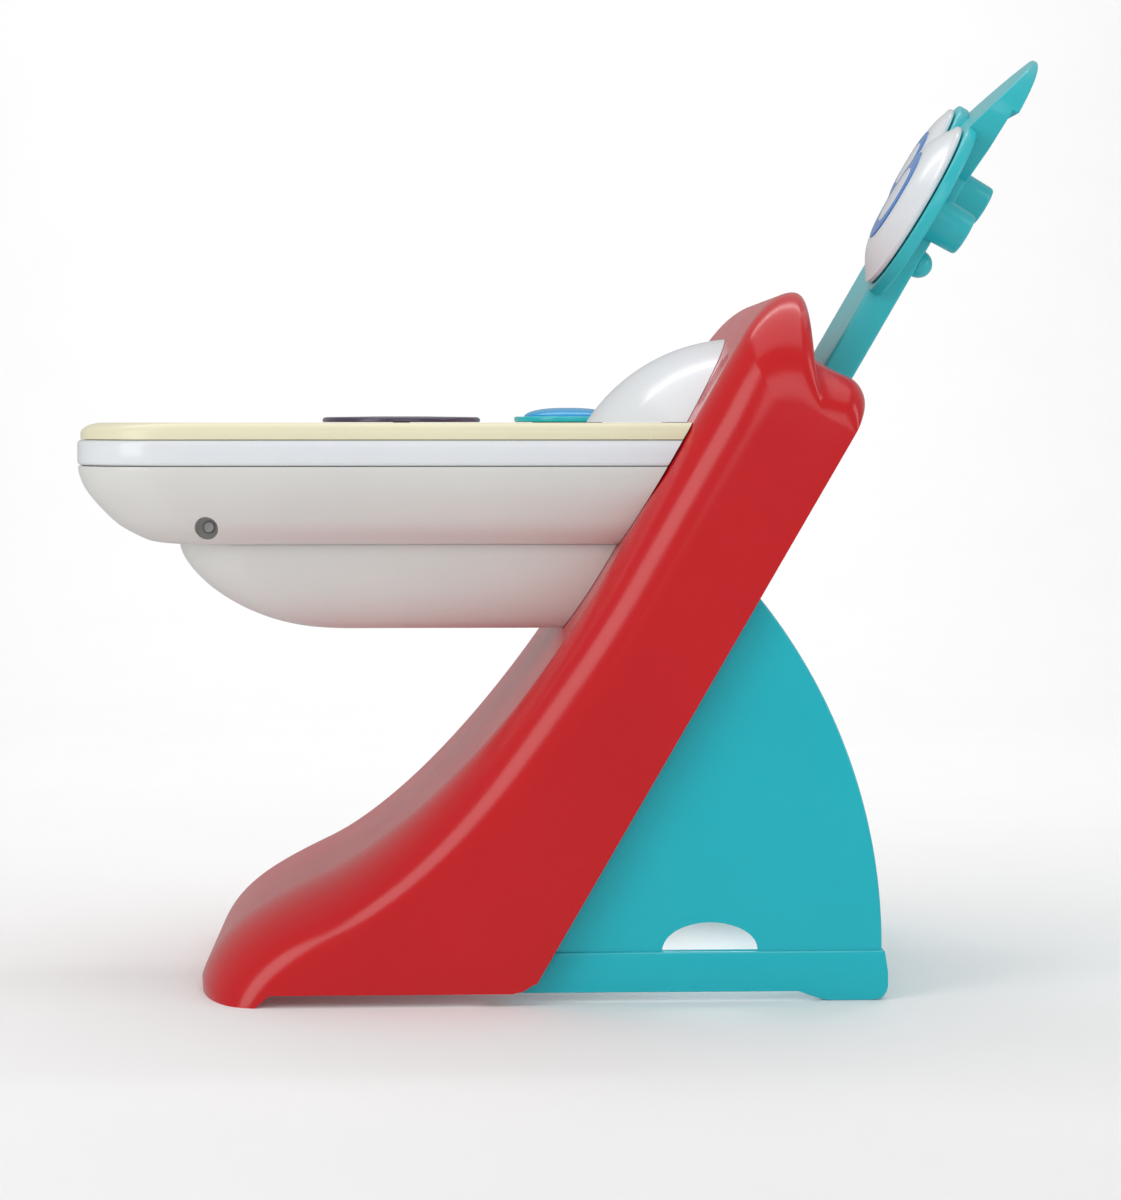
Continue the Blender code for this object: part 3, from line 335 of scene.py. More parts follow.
def ring_of(inner, outer, z0, z1, steps=96):
    """A ring with a rectangular section, spun round Z."""
    bm = bmesh.new()
    corners = ((inner, z0), (outer, z0), (outer, z1), (inner, z1))
    edges = closed_loop(bm, [(r, 0, z) for r, z in corners])
    bmesh.ops.spin(bm, geom=bm.verts[:] + edges, axis=(0, 0, 1), cent=(0, 0, 0), angle=2 * math.pi,
                   steps=steps, use_merge=True)
    bmesh.ops.remove_doubles(bm, verts=bm.verts, dist=1e-3)
    bmesh.ops.recalc_face_normals(bm, faces=bm.faces)
    return bm


def moved(bm, matrix):
    bmesh.ops.transform(bm, matrix=matrix, verts=bm.verts)
    return bm


def placed(bm, x=0.0, y=0.0, z=0.0):
    return moved(bm, Matrix.Translation((x, y, z)))


def on_plank(bm, y, t):
    """Turns a piece drawn round Z so that its +Z points out of the plank's front, at (y, t)."""
    out_of_front = Matrix.Rotation(-math.pi / 2, 4, "Y")
    return moved(bm, LEAN_MATRIX @ Matrix.Translation((0, y, t)) @ out_of_front)


def leaned(bm):
    return moved(bm, LEAN_MATRIX)


def softened(bm, width, segments=3, angle=30.0):
    """Rounds every edge that turns more than an angle."""
    sharp = [e for e in bm.edges if len(e.link_faces) == 2 and e.calc_face_angle(0) > math.radians(angle)]
    bmesh.ops.bevel(bm, geom=sharp, offset=width, segments=segments, profile=0.5, affect="EDGES",
                    clamp_overlap=True, material=-1)
    return bm


def to_object(bm, name):
    mesh = bpy.data.meshes.new(name)
    bm.to_mesh(mesh)
    bm.free()
    made = bpy.data.objects.new(name, mesh)
    bpy.context.scene.collection.objects.link(made)
    return made


def combined(bm, operation, *others):
    """One solid after a Boolean with each of the others."""
    target = to_object(bm, "blank")
    for other in others:
        tool = to_object(other, "tool")
        step = target.modifiers.new("shape", "BOOLEAN")
        step.operation = operation
        step.solver = "EXACT"
        step.object = tool
        graph = bpy.context.evaluated_depsgraph_get()
        result = bpy.data.meshes.new_from_object(target.evaluated_get(graph))
        bpy.data.objects.remove(target, do_unlink=True)
        bpy.data.objects.remove(tool, do_unlink=True)
        bm = bmesh.new()
        bm.from_mesh(result)
        bmesh.ops.remove_doubles(bm, verts=bm.verts, dist=1e-3)
        target = to_object(bm, "blank")
    out = bmesh.new()
    out.from_mesh(target.data)
    bpy.data.objects.remove(target, do_unlink=True)
    return out


def cut(bm, *tools):
    return combined(bm, "DIFFERENCE", *tools)


def add(bm, *tools):
    return combined(bm, "UNION", *tools)


def finished(name, bm, material, body, nodes=(), smooth=30):
    """Scales a shape to metres and makes it a named piece that rides on a body."""
    bmesh.ops.scale(bm, vec=(METRE,) * 3, verts=bm.verts)
    made = to_object(bm, name)
    made.data.materials.clear()
    made.data.materials.append(material)
    made.data.shade_smooth()
    made.data.set_sharp_from_angle(angle=math.radians(smooth))
    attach(made, body)
    if nodes:
        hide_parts(*nodes)
    return made


# ---------------------------------------------------------------- pedestal

# How many times finer than one point a step the pedestal's curves are drawn.
SMOOTH = 5


def front_rail(fine):
    """The pedestal's middle outline, from under the toe over the crest to the rear top corner."""
    toe_tip = (-242.0, 8.0)
    toe_back = (-166.0, 72.0)
    slope_low = (20.0, 272.0)
    slope_top = lean_xz(COLUMN_FRONT, COLUMN_TOP)
    crest = (142.0, 452.5)
    behind_crest = (147.0, 425.0)
    saddle_end = (174.0, 397.5)
    corner = lean_xz(COLUMN_REAR, COLUMN_TOP)
    points = [(-241.0, -15.0)]
    points += bezier(toe_tip, (-232.0, 38.0), (-206.5, 52.6), toe_back, 7 * fine)
    points += bezier(toe_back, (-112.0, 98.0), (-37.5, 172.4), slope_low, 10 * fine)
    points += straight(slope_low, lean_xz(COLUMN_FRONT, 385.0), 2 * fine)
    points += bezier(slope_top, (109.0, 427.0), (123.0, 450.0), crest, 5 * fine)
    points += bezier(crest, (155.0, 454.0), (152.0, 438.0), behind_crest, 5 * fine)
    points += bezier(behind_crest, (144.0, 414.0), (162.0, 402.5), saddle_end, 5 * fine)
    points += bezier(saddle_end, (181.0, 395.0), (188.0, 384.0), corner, 3 * fine)
    return points + [corner]


def toe_end(fine):
    return 1 + 7 * fine


def slope_end(fine):
    return toe_end(fine) + 12 * fine


def side_rail(front, fine):
    """The outline of the flat side: the front rail moved in by the shoulder, then a square top."""
    low = offset_line(front, SHOULDER)[:slope_end(fine)]
    toe = toe_end(fine)
    low[:toe] = [(-205.0, front[0][1])] + bezier(
        (-203.0, -6.0), (-197.0, 8.0), (-176.0, 26.0), low[toe], toe - 1)
    top_count = len(front) - slope_end(fine)
    inner = COLUMN_FRONT - SHOULDER
    top = []
    for i in range(top_count):
        share = i / (top_count - 1)
        n = inner + (COLUMN_REAR - inner) * share
        top.append(lean_xz(n, SIDE_TOP - 8.0 * (1 - share) ** 6))
    return low + top


def flat_half(index, count, fine):
    """How far the front is flat across before it rolls into the side: less at toe and crest."""
    start = slope_end(fine)
    if index < start:
        rise = min(max((index - toe_end(fine)) / (8 * fine), 0), 1)
        return TOE_FLAT_HALF + (FLAT_HALF - TOE_FLAT_HALF) * rise * rise * (3 - 2 * rise)
    share = (index - start) / (count - 1 - start)
    dip = math.sin(math.pi * min(share * 1.15, 1.0)) ** 2
    return FLAT_HALF + (CREST_FLAT_HALF - FLAT_HALF) * dip


def section(front, side, flat, half, rear, steps=18):
    """One ring of the pedestal: rear corner, roll, flat front, roll, rear corner."""
    roll = []
    for i in range(steps + 1):
        angle = math.pi / 2 * i / steps
        y = flat + (half - flat) * math.sin(angle)
        share = 1 - math.cos(angle)
        roll.append((front[0] + (side[0] - front[0]) * share, y, front[1] + (side[1] - front[1]) * share))
    near = [(x, -y, z) for x, y, z in reversed(roll)]
    return [(rear[0], -half, rear[1])] + near + roll + [(rear[0], half, rear[1])]


def pedestal_outer():
    front = front_rail(SMOOTH)
    side = side_rail(front, SMOOTH)
    count = len(front)
    floor = front[0][1]
    low = ((floor / 2 - COLUMN_REAR) / math.cos(LEAN), floor)
    rear = straight(low, lean_xz(COLUMN_REAR, SIDE_TOP - 8), count - 1)
    rear.append(lean_xz(COLUMN_REAR, SIDE_TOP - 8))
    rings = []
    for i in range(count):
        rings.append(section(front[i], side[i], flat_half(i, count, SMOOTH), PEDESTAL_HALF, rear[i]))
    return skin(rings)


def pedestal_cavity():
    """The hollow inside, which runs out through the back and the bottom."""
    whole = front_rail(1)
    keep = len(whole) - 5
    front = offset_line(whole, WALL)[:keep]
    side = offset_line(side_rail(whole, 1), WALL)[:keep]
    past_rear = COLUMN_REAR - 12
    front[0] = (front[1][0], -40.0)
    side[0] = (side[1][0], -40.0)
    front.append(lean_xz(past_rear, COLUMN_TOP - WALL - 2))
    side.append(lean_xz(past_rear, SIDE_TOP - WALL))
    count = len(front)
    low = ((-40.0 / 2 - past_rear) / math.cos(LEAN), -40.0)
    high = lean_xz(past_rear, SIDE_TOP - 14)
    rear = straight(low, high, count - 1) + [high]
    rings = []
    for i in range(count):
        flat = flat_half(min(i, keep - 1), len(whole), 1)
        rings.append(section(front[i], side[i], flat, PEDESTAL_HALF - WALL, rear[i], steps=8))
    return skin(rings)


def slot_cutter(y, t, half_width, half_length):
    """A round-ended cutter through the pedestal's face."""
    outline = []
    for end, start in ((1, 0.0), (-1, math.pi)):
        for i in range(9):
            angle = start + math.pi * i / 8
            outline.append((y + half_width * math.cos(angle),
                            t + end * (half_length - half_width) + half_width * math.sin(angle)))
    return upright_plate(outline, COLUMN_FRONT - 9, COLUMN_FRONT + 3)


def pedestal():
    floor_cut = prism([(-300, -60), (-300, 0), (-203, 0), (-194, UNDERSIDE), (-41, UNDERSIDE),
                       (-34, UNDERSIDE + 1.5), (-27, 14), (40, 14), (40, -60)], -230, 230)
    shell = cut(pedestal_outer(), floor_cut, pedestal_cavity())
    behind_cover = -COLUMN_REAR - 4 - GAP
    posts = [leaned(box((-50, behind_cover), (y - 6, y + 6), (t - 6, t + 19.5))) for y, t in COVER_SCREWS]
    shell = add(shell, *posts)
    tools = [leaned(box((-PLANK_FRONT - GAP, -PLANK_BACK + GAP), (-PLANK_HALF - GAP, PLANK_HALF + GAP),
                        (PLANK_ROOT - GAP, 470)))]
    tools += [on_plank(rod(COVER_SCREW_RADIUS + GAP, 26, 44, 12), y, t) for y, t in COVER_SCREWS]
    tools += [on_plank(rod(2.6, COLUMN_FRONT - 12, COLUMN_FRONT + 5, 12), y, t) for y, t in TRAY_SCREWS]
    grille_y, grille_t = GRILLE_CENTRE
    tools += [slot_cutter(grille_y + 9 * i, grille_t, 2.2, 21 - abs(i) * 2.2) for i in range(-2, 3)]
    tools.append(slot_cutter(*SWITCH_CENTRE, 6, 14))
    return finished("pedestal_moulding", cut(shell, *tools), RED, "stand", ["pedestal_shell"],
                    smooth=28)


def back_cover():
    """The cover over the pedestal's back, with a stepped edge and a shallow panel line."""
    half = PEDESTAL_HALF - WALL - GAP
    side_top = SIDE_TOP - WALL - 3.0
    top_half = FLAT_HALF + 12
    top = COLUMN_TOP - WALL - 3.5
    notch, notch_low = PLANK_HALF + 4, PLANK_ROOT - 3
    outline = [(-half, COVER_LOW), (half, COVER_LOW), (half, side_top), (top_half, top), (notch, top),
               (notch, notch_low), (-notch, notch_low), (-notch, top), (-top_half, top), (-half, side_top)]
    cover = softened(upright_plate(outline, COLUMN_REAR + 1, COLUMN_REAR + 4), 0.7)
    side, low, high, width = half - 16, COVER_LOW + 24, 379, 1.6
    line_out = [(-side, low), (side, low), (side, high), (-side, high)]
    side, low, high = side - width, low + width, high - width
    line_in = [(-side, low), (side, low), (side, high), (-side, high)]
    panel_line = cut(upright_plate(line_out, COLUMN_REAR, COLUMN_REAR + 1.8),
                     upright_plate(line_in, COLUMN_REAR - 2, COLUMN_REAR + 4))
    tools = [on_plank(rod(COVER_SCREW_RADIUS + GAP, 20, 44, 24), y, t) for y, t in COVER_SCREWS]
    tools.append(on_plank(rod(LOCK_NECK + GAP, 20, 44), 0, LOCK_T))
    cover = cut(cover, panel_line, *tools)
    return finished("back_cover_panel", cover, RED, "stand", ["back_cover"])


def lock_knob():
    """The push-in knob, with a fluted cap."""
    cover_out, cover_in = COLUMN_REAR + 1, COLUMN_REAR + 4
    cap = cover_out - GAP - LOCK_TRAVEL
    profile = [(0, cap - 11), (8.0, cap - 11), (10.5, cap - 9), (11.0, cap - 2), (10.0, cap),
               (LOCK_NECK, cap), (LOCK_NECK, cover_in + GAP), (6.5, cover_in + GAP), (6.5, cover_in + 1.6),
               (3.5, cover_in + 1.6), (3.5, cover_in + 6.4), (2.2, cover_in + 7.4), (0, cover_in + 7.4)]
    knob = softened(turned(profile, 72), 0.5)
    flutes = []
    for i in range(12):
        angle = math.pi / 6 * i
        flutes.append(placed(rod(1.1, cap - 13, cap + 1, 16), 11.6 * math.cos(angle), 11.6 * math.sin(angle)))
    knob = on_plank(cut(knob, *flutes), 0, LOCK_T)
    return finished("lock_knob_grip", knob, TEAL, "lock", ["lock_knob"])


# ---------------------------------------------------------------- screws

def screw_shape(head_radius, head_height, shank_radius, shank_length):
    """A cross-head screw: head on +Z, shank down from Z = 0."""
    profile = [(0, -shank_length), (shank_radius * 0.4, -shank_length), (shank_radius, -shank_length + 1.6),
               (shank_radius, 0), (head_radius, 0), (head_radius, head_height * 0.45),
               (head_radius * 0.82, head_height * 0.88), (head_radius * 0.4, head_height), (0, head_height)]
    arm = head_radius * 0.62
    low = head_height * 0.35
    cross = [box((-arm, arm), (-0.5, 0.5), (low, head_height + 1)),
             box((-0.5, 0.5), (-arm, arm), (low, head_height + 1))]
    return cut(turned(profile, 36), *cross)


def flipped(bm):
    return moved(bm, Matrix.Rotation(math.pi, 4, "X"))


def screws():
    for index, (y, t) in enumerate(COVER_SCREWS, 1):
        shape = placed(flipped(screw_shape(3.9, 1.8, COVER_SCREW_RADIUS, 13)), z=COLUMN_REAR + 1 - GAP)
        finished(f"cover_screw_cross_{index}", on_plank(shape, y, t), STEEL, "stand",
                 [f"cover_screw_{index}"])
    for name, side in (("near", -1), ("far", 1)):
        shape = placed(screw_shape(4.0, 2.2, 1.8, 15), z=POCKET_FLOOR + GAP)
        shape = placed(moved(shape, Matrix.Rotation(-side * math.pi / 2, 4, "X")), POCKET[0], 0, POCKET[1])
        finished(f"bowl_screw_cross_{name}", shape, STEEL, "stand", [f"bowl_screw_{name}"])
    shape = flipped(screw_shape(3.4, 1.3, 1.8, 9))
    shape = placed(shape, DOOR_CENTRE[0] - DOOR_SIZE[0] / 2 + GAP + 5, 0, BELLY_LOW - GAP)
    finished("battery_door_screw_cross", shape, STEEL, "hatch", ["battery_door_screw"])


# ---------------------------------------------------------------- rear leg

def apron_n(t):
    """N of the apron's rear face, which runs along the slide direction inside the cover."""
    lean_dir = LEAN_MATRIX.inverted() @ SLIDE_DIR
    return COLUMN_REAR + 10.0 + (t - COVER_LOW) * (-lean_dir.x / lean_dir.z)


def leg_arc():
    return arc_through((195.5, 33.0), (181.0, 134.0), lean_xz(COLUMN_REAR - 1.6, 281.0), 60)


def leg_outline():
    """The leg seen from the side: foot, quarter-round back, apron and guide end."""
    front_edge_n = 47.0
    apron_top = Vector(lean_xz(apron_n(APRON_TOP_T), APRON_TOP_T))
    down = Vector((SLIDE_DIR.x, SLIDE_DIR.z))
    forward = Vector((down.y, -down.x))
    guide_top = apron_top + forward * 35.0
    guide_low = guide_top + down * 212.0
    points = [((6.0 / 2 - front_edge_n) / math.cos(LEAN), 6.0), (142.0, 6.0), (156.0, 1.0), (162.0, 0.0),
              (190.0, 0.0), (196.0, 3.0), (197.5, 8.0)]
    points += leg_arc()
    points.append(lean_xz(apron_n(APRON_LOW_T), APRON_LOW_T))
    return points + [tuple(apron_top), tuple(guide_top), tuple(guide_low)]


def leg_hollow():
    apron_low = lean_xz(apron_n(APRON_LOW_T) + LEG_WALL, APRON_LOW_T - 4)
    apron_high = lean_xz(apron_n(APRON_TOP_T + 12) + LEG_WALL, APRON_TOP_T + 12)
    points = [(-120.0, -20.0), (192.0, -20.0)]
    points += offset_line(leg_arc(), -LEG_WALL)[:-1]
    return points + [apron_low, apron_high, (60.0, 400.0), (-120.0, 300.0)]


def round_leg_edges(bm):
    """Rolls the quarter-round back over into both sides."""
    on_arc = {(round(x, 2), round(z, 2)) for x, z in leg_arc()}
    chosen = []
    for edge in bm.edges:
        at_side = all(abs(abs(v.co.y) - LEG_HALF) < 1e-3 for v in edge.verts)
        if at_side and all((round(v.co.x, 2), round(v.co.z, 2)) in on_arc for v in edge.verts):
            chosen.append(edge)
    bmesh.ops.bevel(bm, geom=chosen, offset=LEG_EDGE, segments=7, profile=0.5, affect="EDGES",
                    clamp_overlap=True, material=-1)
    return bm


def guide_rib(side):
    """The rib on the leg's side that runs in the guide channel."""
    length, width = 70.0, 12.0
    down = Vector((SLIDE_DIR.x, SLIDE_DIR.z))
    forward = Vector((down.y, -down.x))
    top = Vector(lean_xz(apron_n(APRON_TOP_T), APRON_TOP_T)) + forward * GUIDE_FORWARD + down * 12
    centre = top + down * (length / 2)
    y = sorted((side * (LEG_HALF - 1), side * (LEG_HALF + 5.5)))
    bar = softened(box((-width / 2, width / 2), y, (-length / 2, length / 2)), 0.8)
    turn = math.atan2(SLIDE_DIR.x, SLIDE_DIR.z)
    return placed(moved(bar, Matrix.Rotation(turn, 4, "Y")), centre.x, 0, centre.y)


def rear_leg():
    leg = cut(round_leg_edges(prism(leg_outline(), -LEG_HALF, LEG_HALF)),
              prism(leg_hollow(), -LEG_HALF + LEG_WALL, LEG_HALF - LEG_WALL))
    foot = [(-45.0, 6.0), (142.0, 6.0), (149.0, 3.5), (156.0, 1.0), (162.0, 0.0), (190.0, 0.0), (194.5, 0.9),
            (196.5, 2.5), (198.6, 5.5), (199.5, 9.0), (199.4, 18.0), (197.2, FLANGE_TOP), (-30.0, FLANGE_TOP)]
    inside = [(-60.0, -20.0), (192.0, -20.0), (192.0, 60.0), (-60.0, 60.0)]
    half, inside_half = LEG_HALF + 2.0, LEG_HALF - 1.0
    flange = cut(softened(prism(foot, -half, half), 1.3, angle=50), prism(inside, -inside_half, inside_half))
    hole = [(55.0, FLANGE_TOP + 0.5)]
    hole += [(85.5 + 30.5 * math.cos(math.pi * i / 32), FLANGE_TOP + 0.5 + 18.0 * math.sin(math.pi * i / 32))
             for i in range(32)]
    tools = [prism(hole, -200, 200)]
    drop = -(LEAN_MATRIX.inverted() @ SLIDE_DIR).z
    for position in (0, 0.5, 1):
        tools.append(on_plank(rod(4.5, 30, 64, 32), 0, LOCK_T + position * SLIDE_TRAVEL * drop))
    leg = cut(add(leg, flange, guide_rib(-1), guide_rib(1)), *tools)
    return finished("rear_leg_moulding", leg, TEAL, "leg", ["rear_leg"], 25)


# ---------------------------------------------------------------- tray

def tray_outline(front, half, corner, rear=120.0, steps=20):
    """Plan of the tray: square at the rear, with two round front corners."""
    points = [(rear, -half), (rear, half)]
    for i in range(steps + 1):
        angle = math.pi / 2 * i / steps
        points.append((front + corner - corner * math.sin(angle), half - corner + corner * math.cos(angle)))
    for i in range(steps + 1):
        angle = math.pi / 2 * i / steps
        points.append((front + corner - corner * math.cos(angle), -half + corner - corner * math.sin(angle)))
    return points


def tray_level(front, half, corner, z):
    return [(x, y, z) for x, y in tray_outline(front, half, corner)]


def column_plane():
    """Everything behind the pedestal's front line, to trim the tray to it."""
    line = offset_line(front_rail(2)[toe_end(2):slope_end(2)], -GAP)
    high = lean_xz(COLUMN_FRONT + GAP, 700)
    return prism(line + [high, (500.0, high[1]), (500.0, line[0][1])], -260, 260)


def groove_tool(inset, width, low, high):
    """A ring-shaped cutter that follows the deck's edge."""
    front, half, rear = TRAY_FRONT + DECK_INSET, TRAY_HALF - DECK_SIDE_INSET, 90
    outer = plate(tray_outline(front + inset, half - inset, TRAY_CORNER - inset, rear), low, high)
    inset += width
    inner = plate(tray_outline(front + inset, half - inset, TRAY_CORNER - inset, rear - width),
                  low - 1, high + 1)
    return cut(outer, inner)


def tray_deck():
    edge, steps = 7.0, 9
    front, half = TRAY_FRONT + DECK_INSET, TRAY_HALF - DECK_SIDE_INSET
    levels = [tray_level(front, half, TRAY_CORNER, DECK_LOW)]
    for i in range(steps + 1):
        angle = math.pi / 2 * i / steps
        inset = edge * (1 - math.cos(angle))
        z = DECK_TOP - edge + edge * math.sin(angle)
        levels.append(tray_level(front + 2 * inset, half - inset, TRAY_CORNER, z))
    hollow = plate(tray_outline(TRAY_FRONT + 14, TRAY_HALF - 8, TRAY_CORNER - 8, TRAY_PAST),
                   DECK_LOW - 5, DECK_TOP - 4)
    disc_hole = placed(rod(DISC_HOLE, 340, 380), *DISC_CENTRE)
    pad_hole = placed(rod(PAD_RADIUS - 3, 340, 380, 96), *PAD_CENTRE)
    groove_low, groove_high = DECK_TOP - 0.7, DECK_TOP + 2
    moat = placed(ring_of(DISC_RADIUS + 2, DISC_RADIUS + 4, groove_low, groove_high, 128), *DISC_CENTRE)
    deck = cut(skin(levels), hollow, disc_hole, pad_hole, moat,
               groove_tool(14.0, 1.4, groove_low, groove_high), column_plane())
    return finished("deck_moulding", deck, CREAM, "stand", ["tray_deck"])


def tray_rim():
    """The band under the deck, with rolled upper and lower edges."""
    roll, steps = 3.0, 5
    levels = []
    for i in range(steps + 1):
        angle = math.pi / 2 * i / steps
        inset = roll * (1 - math.sin(angle))
        z = RIM_LOW + roll * (1 - math.cos(angle))
        levels.append(tray_level(TRAY_FRONT + inset, TRAY_HALF - inset, TRAY_CORNER, z))
    for i in range(steps + 1):
        angle = math.pi / 2 * i / steps
        inset = roll * (1 - math.cos(angle))
        z = DECK_LOW - GAP - roll * (1 - math.sin(angle))
        levels.append(tray_level(TRAY_FRONT + inset, TRAY_HALF - inset, TRAY_CORNER, z))
    hollow = plate(tray_outline(TRAY_FRONT + 6, TRAY_HALF - 6, TRAY_CORNER - 6, TRAY_PAST),
                   RIM_LOW - 5, DECK_LOW + 5)
    return finished("rim_band", cut(skin(levels), hollow, column_plane()), WHITE, "stand",
                    ["tray_rim"])


BOWL_STEPS = [(0.0, 56.0), (1.0, 48.0), (3.5, 40.5), (12.0, 26.0), (24.0, 14.0), (36.0, 5.0), (46.0, 1.0),
              (RIM_LOW - GAP - BOWL_LOW, 0.5)]


def through(points, per):
    """A smooth curve through points, cut into per pieces between each two."""
    out = []
    for i in range(len(points) - 1):
        p0, p1 = points[max(i - 1, 0)], points[i]
        p2, p3 = points[i + 1], points[min(i + 2, len(points) - 1)]
        for k in range(per):
            u = k / per
            out.append(tuple(0.5 * (2 * b + (c - a) * u + (2 * a - 5 * b + 4 * c - d) * u * u
                                    + (3 * b - a - 3 * c + d) * u ** 3)
                             for a, b, c, d in zip(p0, p1, p2, p3)))
    return out + [points[-1]]


def bowl_levels(shrink, low_extra, top_extra, per):
    """Rings of the bowl from its flat bottom up, shrunk by a wall."""
    steps = through(BOWL_STEPS, per)
    rings = []
    for i, (rise, inset) in enumerate(steps):
        z = BOWL_LOW + rise
        z += low_extra if i == 0 else 0.0
        z += top_extra if i == len(steps) - 1 else 0.0
        d = inset + shrink
        rings.append(tray_level(TRAY_FRONT + d, TRAY_HALF - 0.8 * d, max(TRAY_CORNER - 0.3 * d, 20), z))
    return rings


def inner_bowl():
    rings = bowl_levels(TRAY_WALL, 0, 6, 1)
    return skin([[(x, y, max(z, BOWL_LOW + TRAY_WALL)) for x, y, z in ring] for ring in rings[2:]])


def across_rod(radius, side, y0, y1):
    """A rod across the tray at the screw pocket, between two distances from the middle."""
    turn = Matrix.Rotation(-side * math.pi / 2, 4, "X")
    return placed(moved(rod(radius, y0, y1, 56), turn), POCKET[0], 0, POCKET[1])


def tray_bowl():
    shell = cut(skin(bowl_levels(0, 0, 0, 5)), inner_bowl())
    opening = plate(tray_outline(BELLY_FRONT + 10, BELLY_HALF - 10, 40, TRAY_PAST),
                    BOWL_LOW - 10, BOWL_LOW + 6)
    shell = cut(shell, opening, column_plane())
    for side in (-1, 1):
        cup = combined(across_rod(POCKET_RADIUS + 2, side, POCKET_FLOOR - 3, 140), "INTERSECT",
                       skin(bowl_levels(0.5, 0.5, 0, 2)))
        shell = cut(add(shell, cup), across_rod(POCKET_RADIUS, side, POCKET_FLOOR, 180),
                    across_rod(2.1, side, POCKET_FLOOR - 10, POCKET_FLOOR + 5))
    return finished("bowl_moulding", shell, SHELL, "stand", ["tray_bowl"], 26)


def belly_levels(shrink, low_extra, top_extra, count):
    depth = BOWL_LOW - GAP - BELLY_LOW
    rings = []
    for i in range(count + 1):
        angle = math.pi / 2 * i / count
        z = BELLY_LOW + depth * (1 - math.cos(angle))
        z += low_extra if i == 0 else 0.0
        z += top_extra if i == count else 0.0
        d = 98.0 * max(1 - math.sin(angle), 0.0) ** 0.8 + shrink
        rings.append(tray_level(BELLY_FRONT + d, BELLY_HALF - 0.4 * d, max(48 - 0.3 * d, 18), z))
    return rings


def tray_belly():
    shell = cut(skin(belly_levels(0, 0, 0, 26)), skin(belly_levels(TRAY_WALL, TRAY_WALL, 6, 7)))
    hatch = box((DOOR_CENTRE[0] - DOOR_SIZE[0] / 2, DOOR_CENTRE[0] + DOOR_SIZE[0] / 2),
                (-DOOR_SIZE[1] / 2, DOOR_SIZE[1] / 2), (BELLY_LOW - 5, BELLY_LOW + 8))
    return finished("belly_moulding", cut(shell, column_plane(), hatch), SHELL, "stand",
                    ["tray_belly"], 26)


def battery_door():
    """The hatch under the belly, with finger grooves."""
    x0, x1 = DOOR_CENTRE[0] - DOOR_SIZE[0] / 2 + GAP, DOOR_CENTRE[0] + DOOR_SIZE[0] / 2 - GAP
    half = DOOR_SIZE[1] / 2 - GAP
    door = softened(box((x0, x1), (-half, half), (BELLY_LOW, BELLY_LOW + 2.4)), 0.5)
    tools = []
    for i in range(4):
        x, half = x1 - 8 - 4 * i, 14 - 2 * i
        tools.append(box((x, x + 2), (-half, half), (BELLY_LOW - 1, BELLY_LOW + 0.8)))
    tools.append(placed(rod(2.1, 220, 250), x0 + 5, 0))
    door = cut(door, *tools)
    return finished("battery_hatch", door, SHELL, "hatch", ["battery_door"])


# ---------------------------------------------------------------- things on the tray

def record_disc():
    """The turning disc: fine grooves in its top, and a label in the middle."""
    low = DECK_TOP + GAP
    profile = [(0, low), (DISC_RADIUS - 0.5, low), (DISC_RADIUS, low + 0.5), (DISC_RADIUS, low + 1.8),
               (DISC_RADIUS - 0.5, low + 2.7), (DISC_RADIUS - 1.5, low + 3.3), (DISC_RADIUS - 3, low + 3.45)]
    for i in range(7):
        r = DISC_RADIUS - 6 - 4 * i
        top = low + 3.45 + 0.06 * i
        profile += [(r + 1.0, top), (r, top - 0.55), (r - 1.0, top)]
    profile += [(20, low + 3.9), (18.2, low + 3.8), (17.4, low + 3.2), (0, low + 3.2)]
    disc = placed(add(turned(profile, 144), rod(DISC_HOLE - GAP, low - 9, low + 1)), *DISC_CENTRE)
    finished("record_disc_grooved", disc, PURPLE, "disc", ["record_disc"])
    label = turned([(0, low + 3.2), (16.9, low + 3.2), (16.9, low + 3.6), (16.4, low + 3.85), (6, low + 3.9),
                    (5, low + 3.4), (0, low + 3.4)], 96)
    finished("record_label", placed(label, *DISC_CENTRE), LAVENDER, "disc")


def drum():
    low = DECK_TOP + GAP
    ring = softened(ring_of(PAD_RADIUS + GAP, PAD_RADIUS + 7, low, low + 4), 1.4, 4)
    finished("drum_ring_rounded", placed(ring, *PAD_CENTRE), TEAL, "stand", ["drum_ring"])
    rim = low + PAD_TRAVEL + GAP
    skirt_in, skirt_out = PAD_RADIUS - 8, PAD_RADIUS - 6
    profile = [(0, rim - 1), (skirt_in, rim - 1), (skirt_in, rim - 12), (skirt_out, rim - 12),
               (skirt_out, rim), (PAD_RADIUS, rim)]
    for i in range(15):
        angle = math.pi / 2 * i / 14
        profile.append((PAD_RADIUS * math.cos(angle) ** 0.8, rim + 0.4 + 6.6 * math.sin(angle)))
    pad = turned(profile, 96)
    finished("drum_pad_domed", placed(pad, *PAD_CENTRE), BLUE, "drum", ["drum_pad"])


def dome_body(radius):
    bm = bmesh.new()
    bmesh.ops.create_uvsphere(bm, u_segments=120, v_segments=80, radius=radius)
    return placed(bm, *DOME_CENTRE)


def light_dome():
    deck_cut = box((-200, 400), (-200, 200), (0, DECK_TOP + GAP))
    dome = cut(dome_body(DOME_RADIUS), deck_cut, column_plane(), dome_body(DOME_RADIUS - 2.5))
    return finished("light_dome_shell", dome, WHITE, "stand", ["light_dome"])


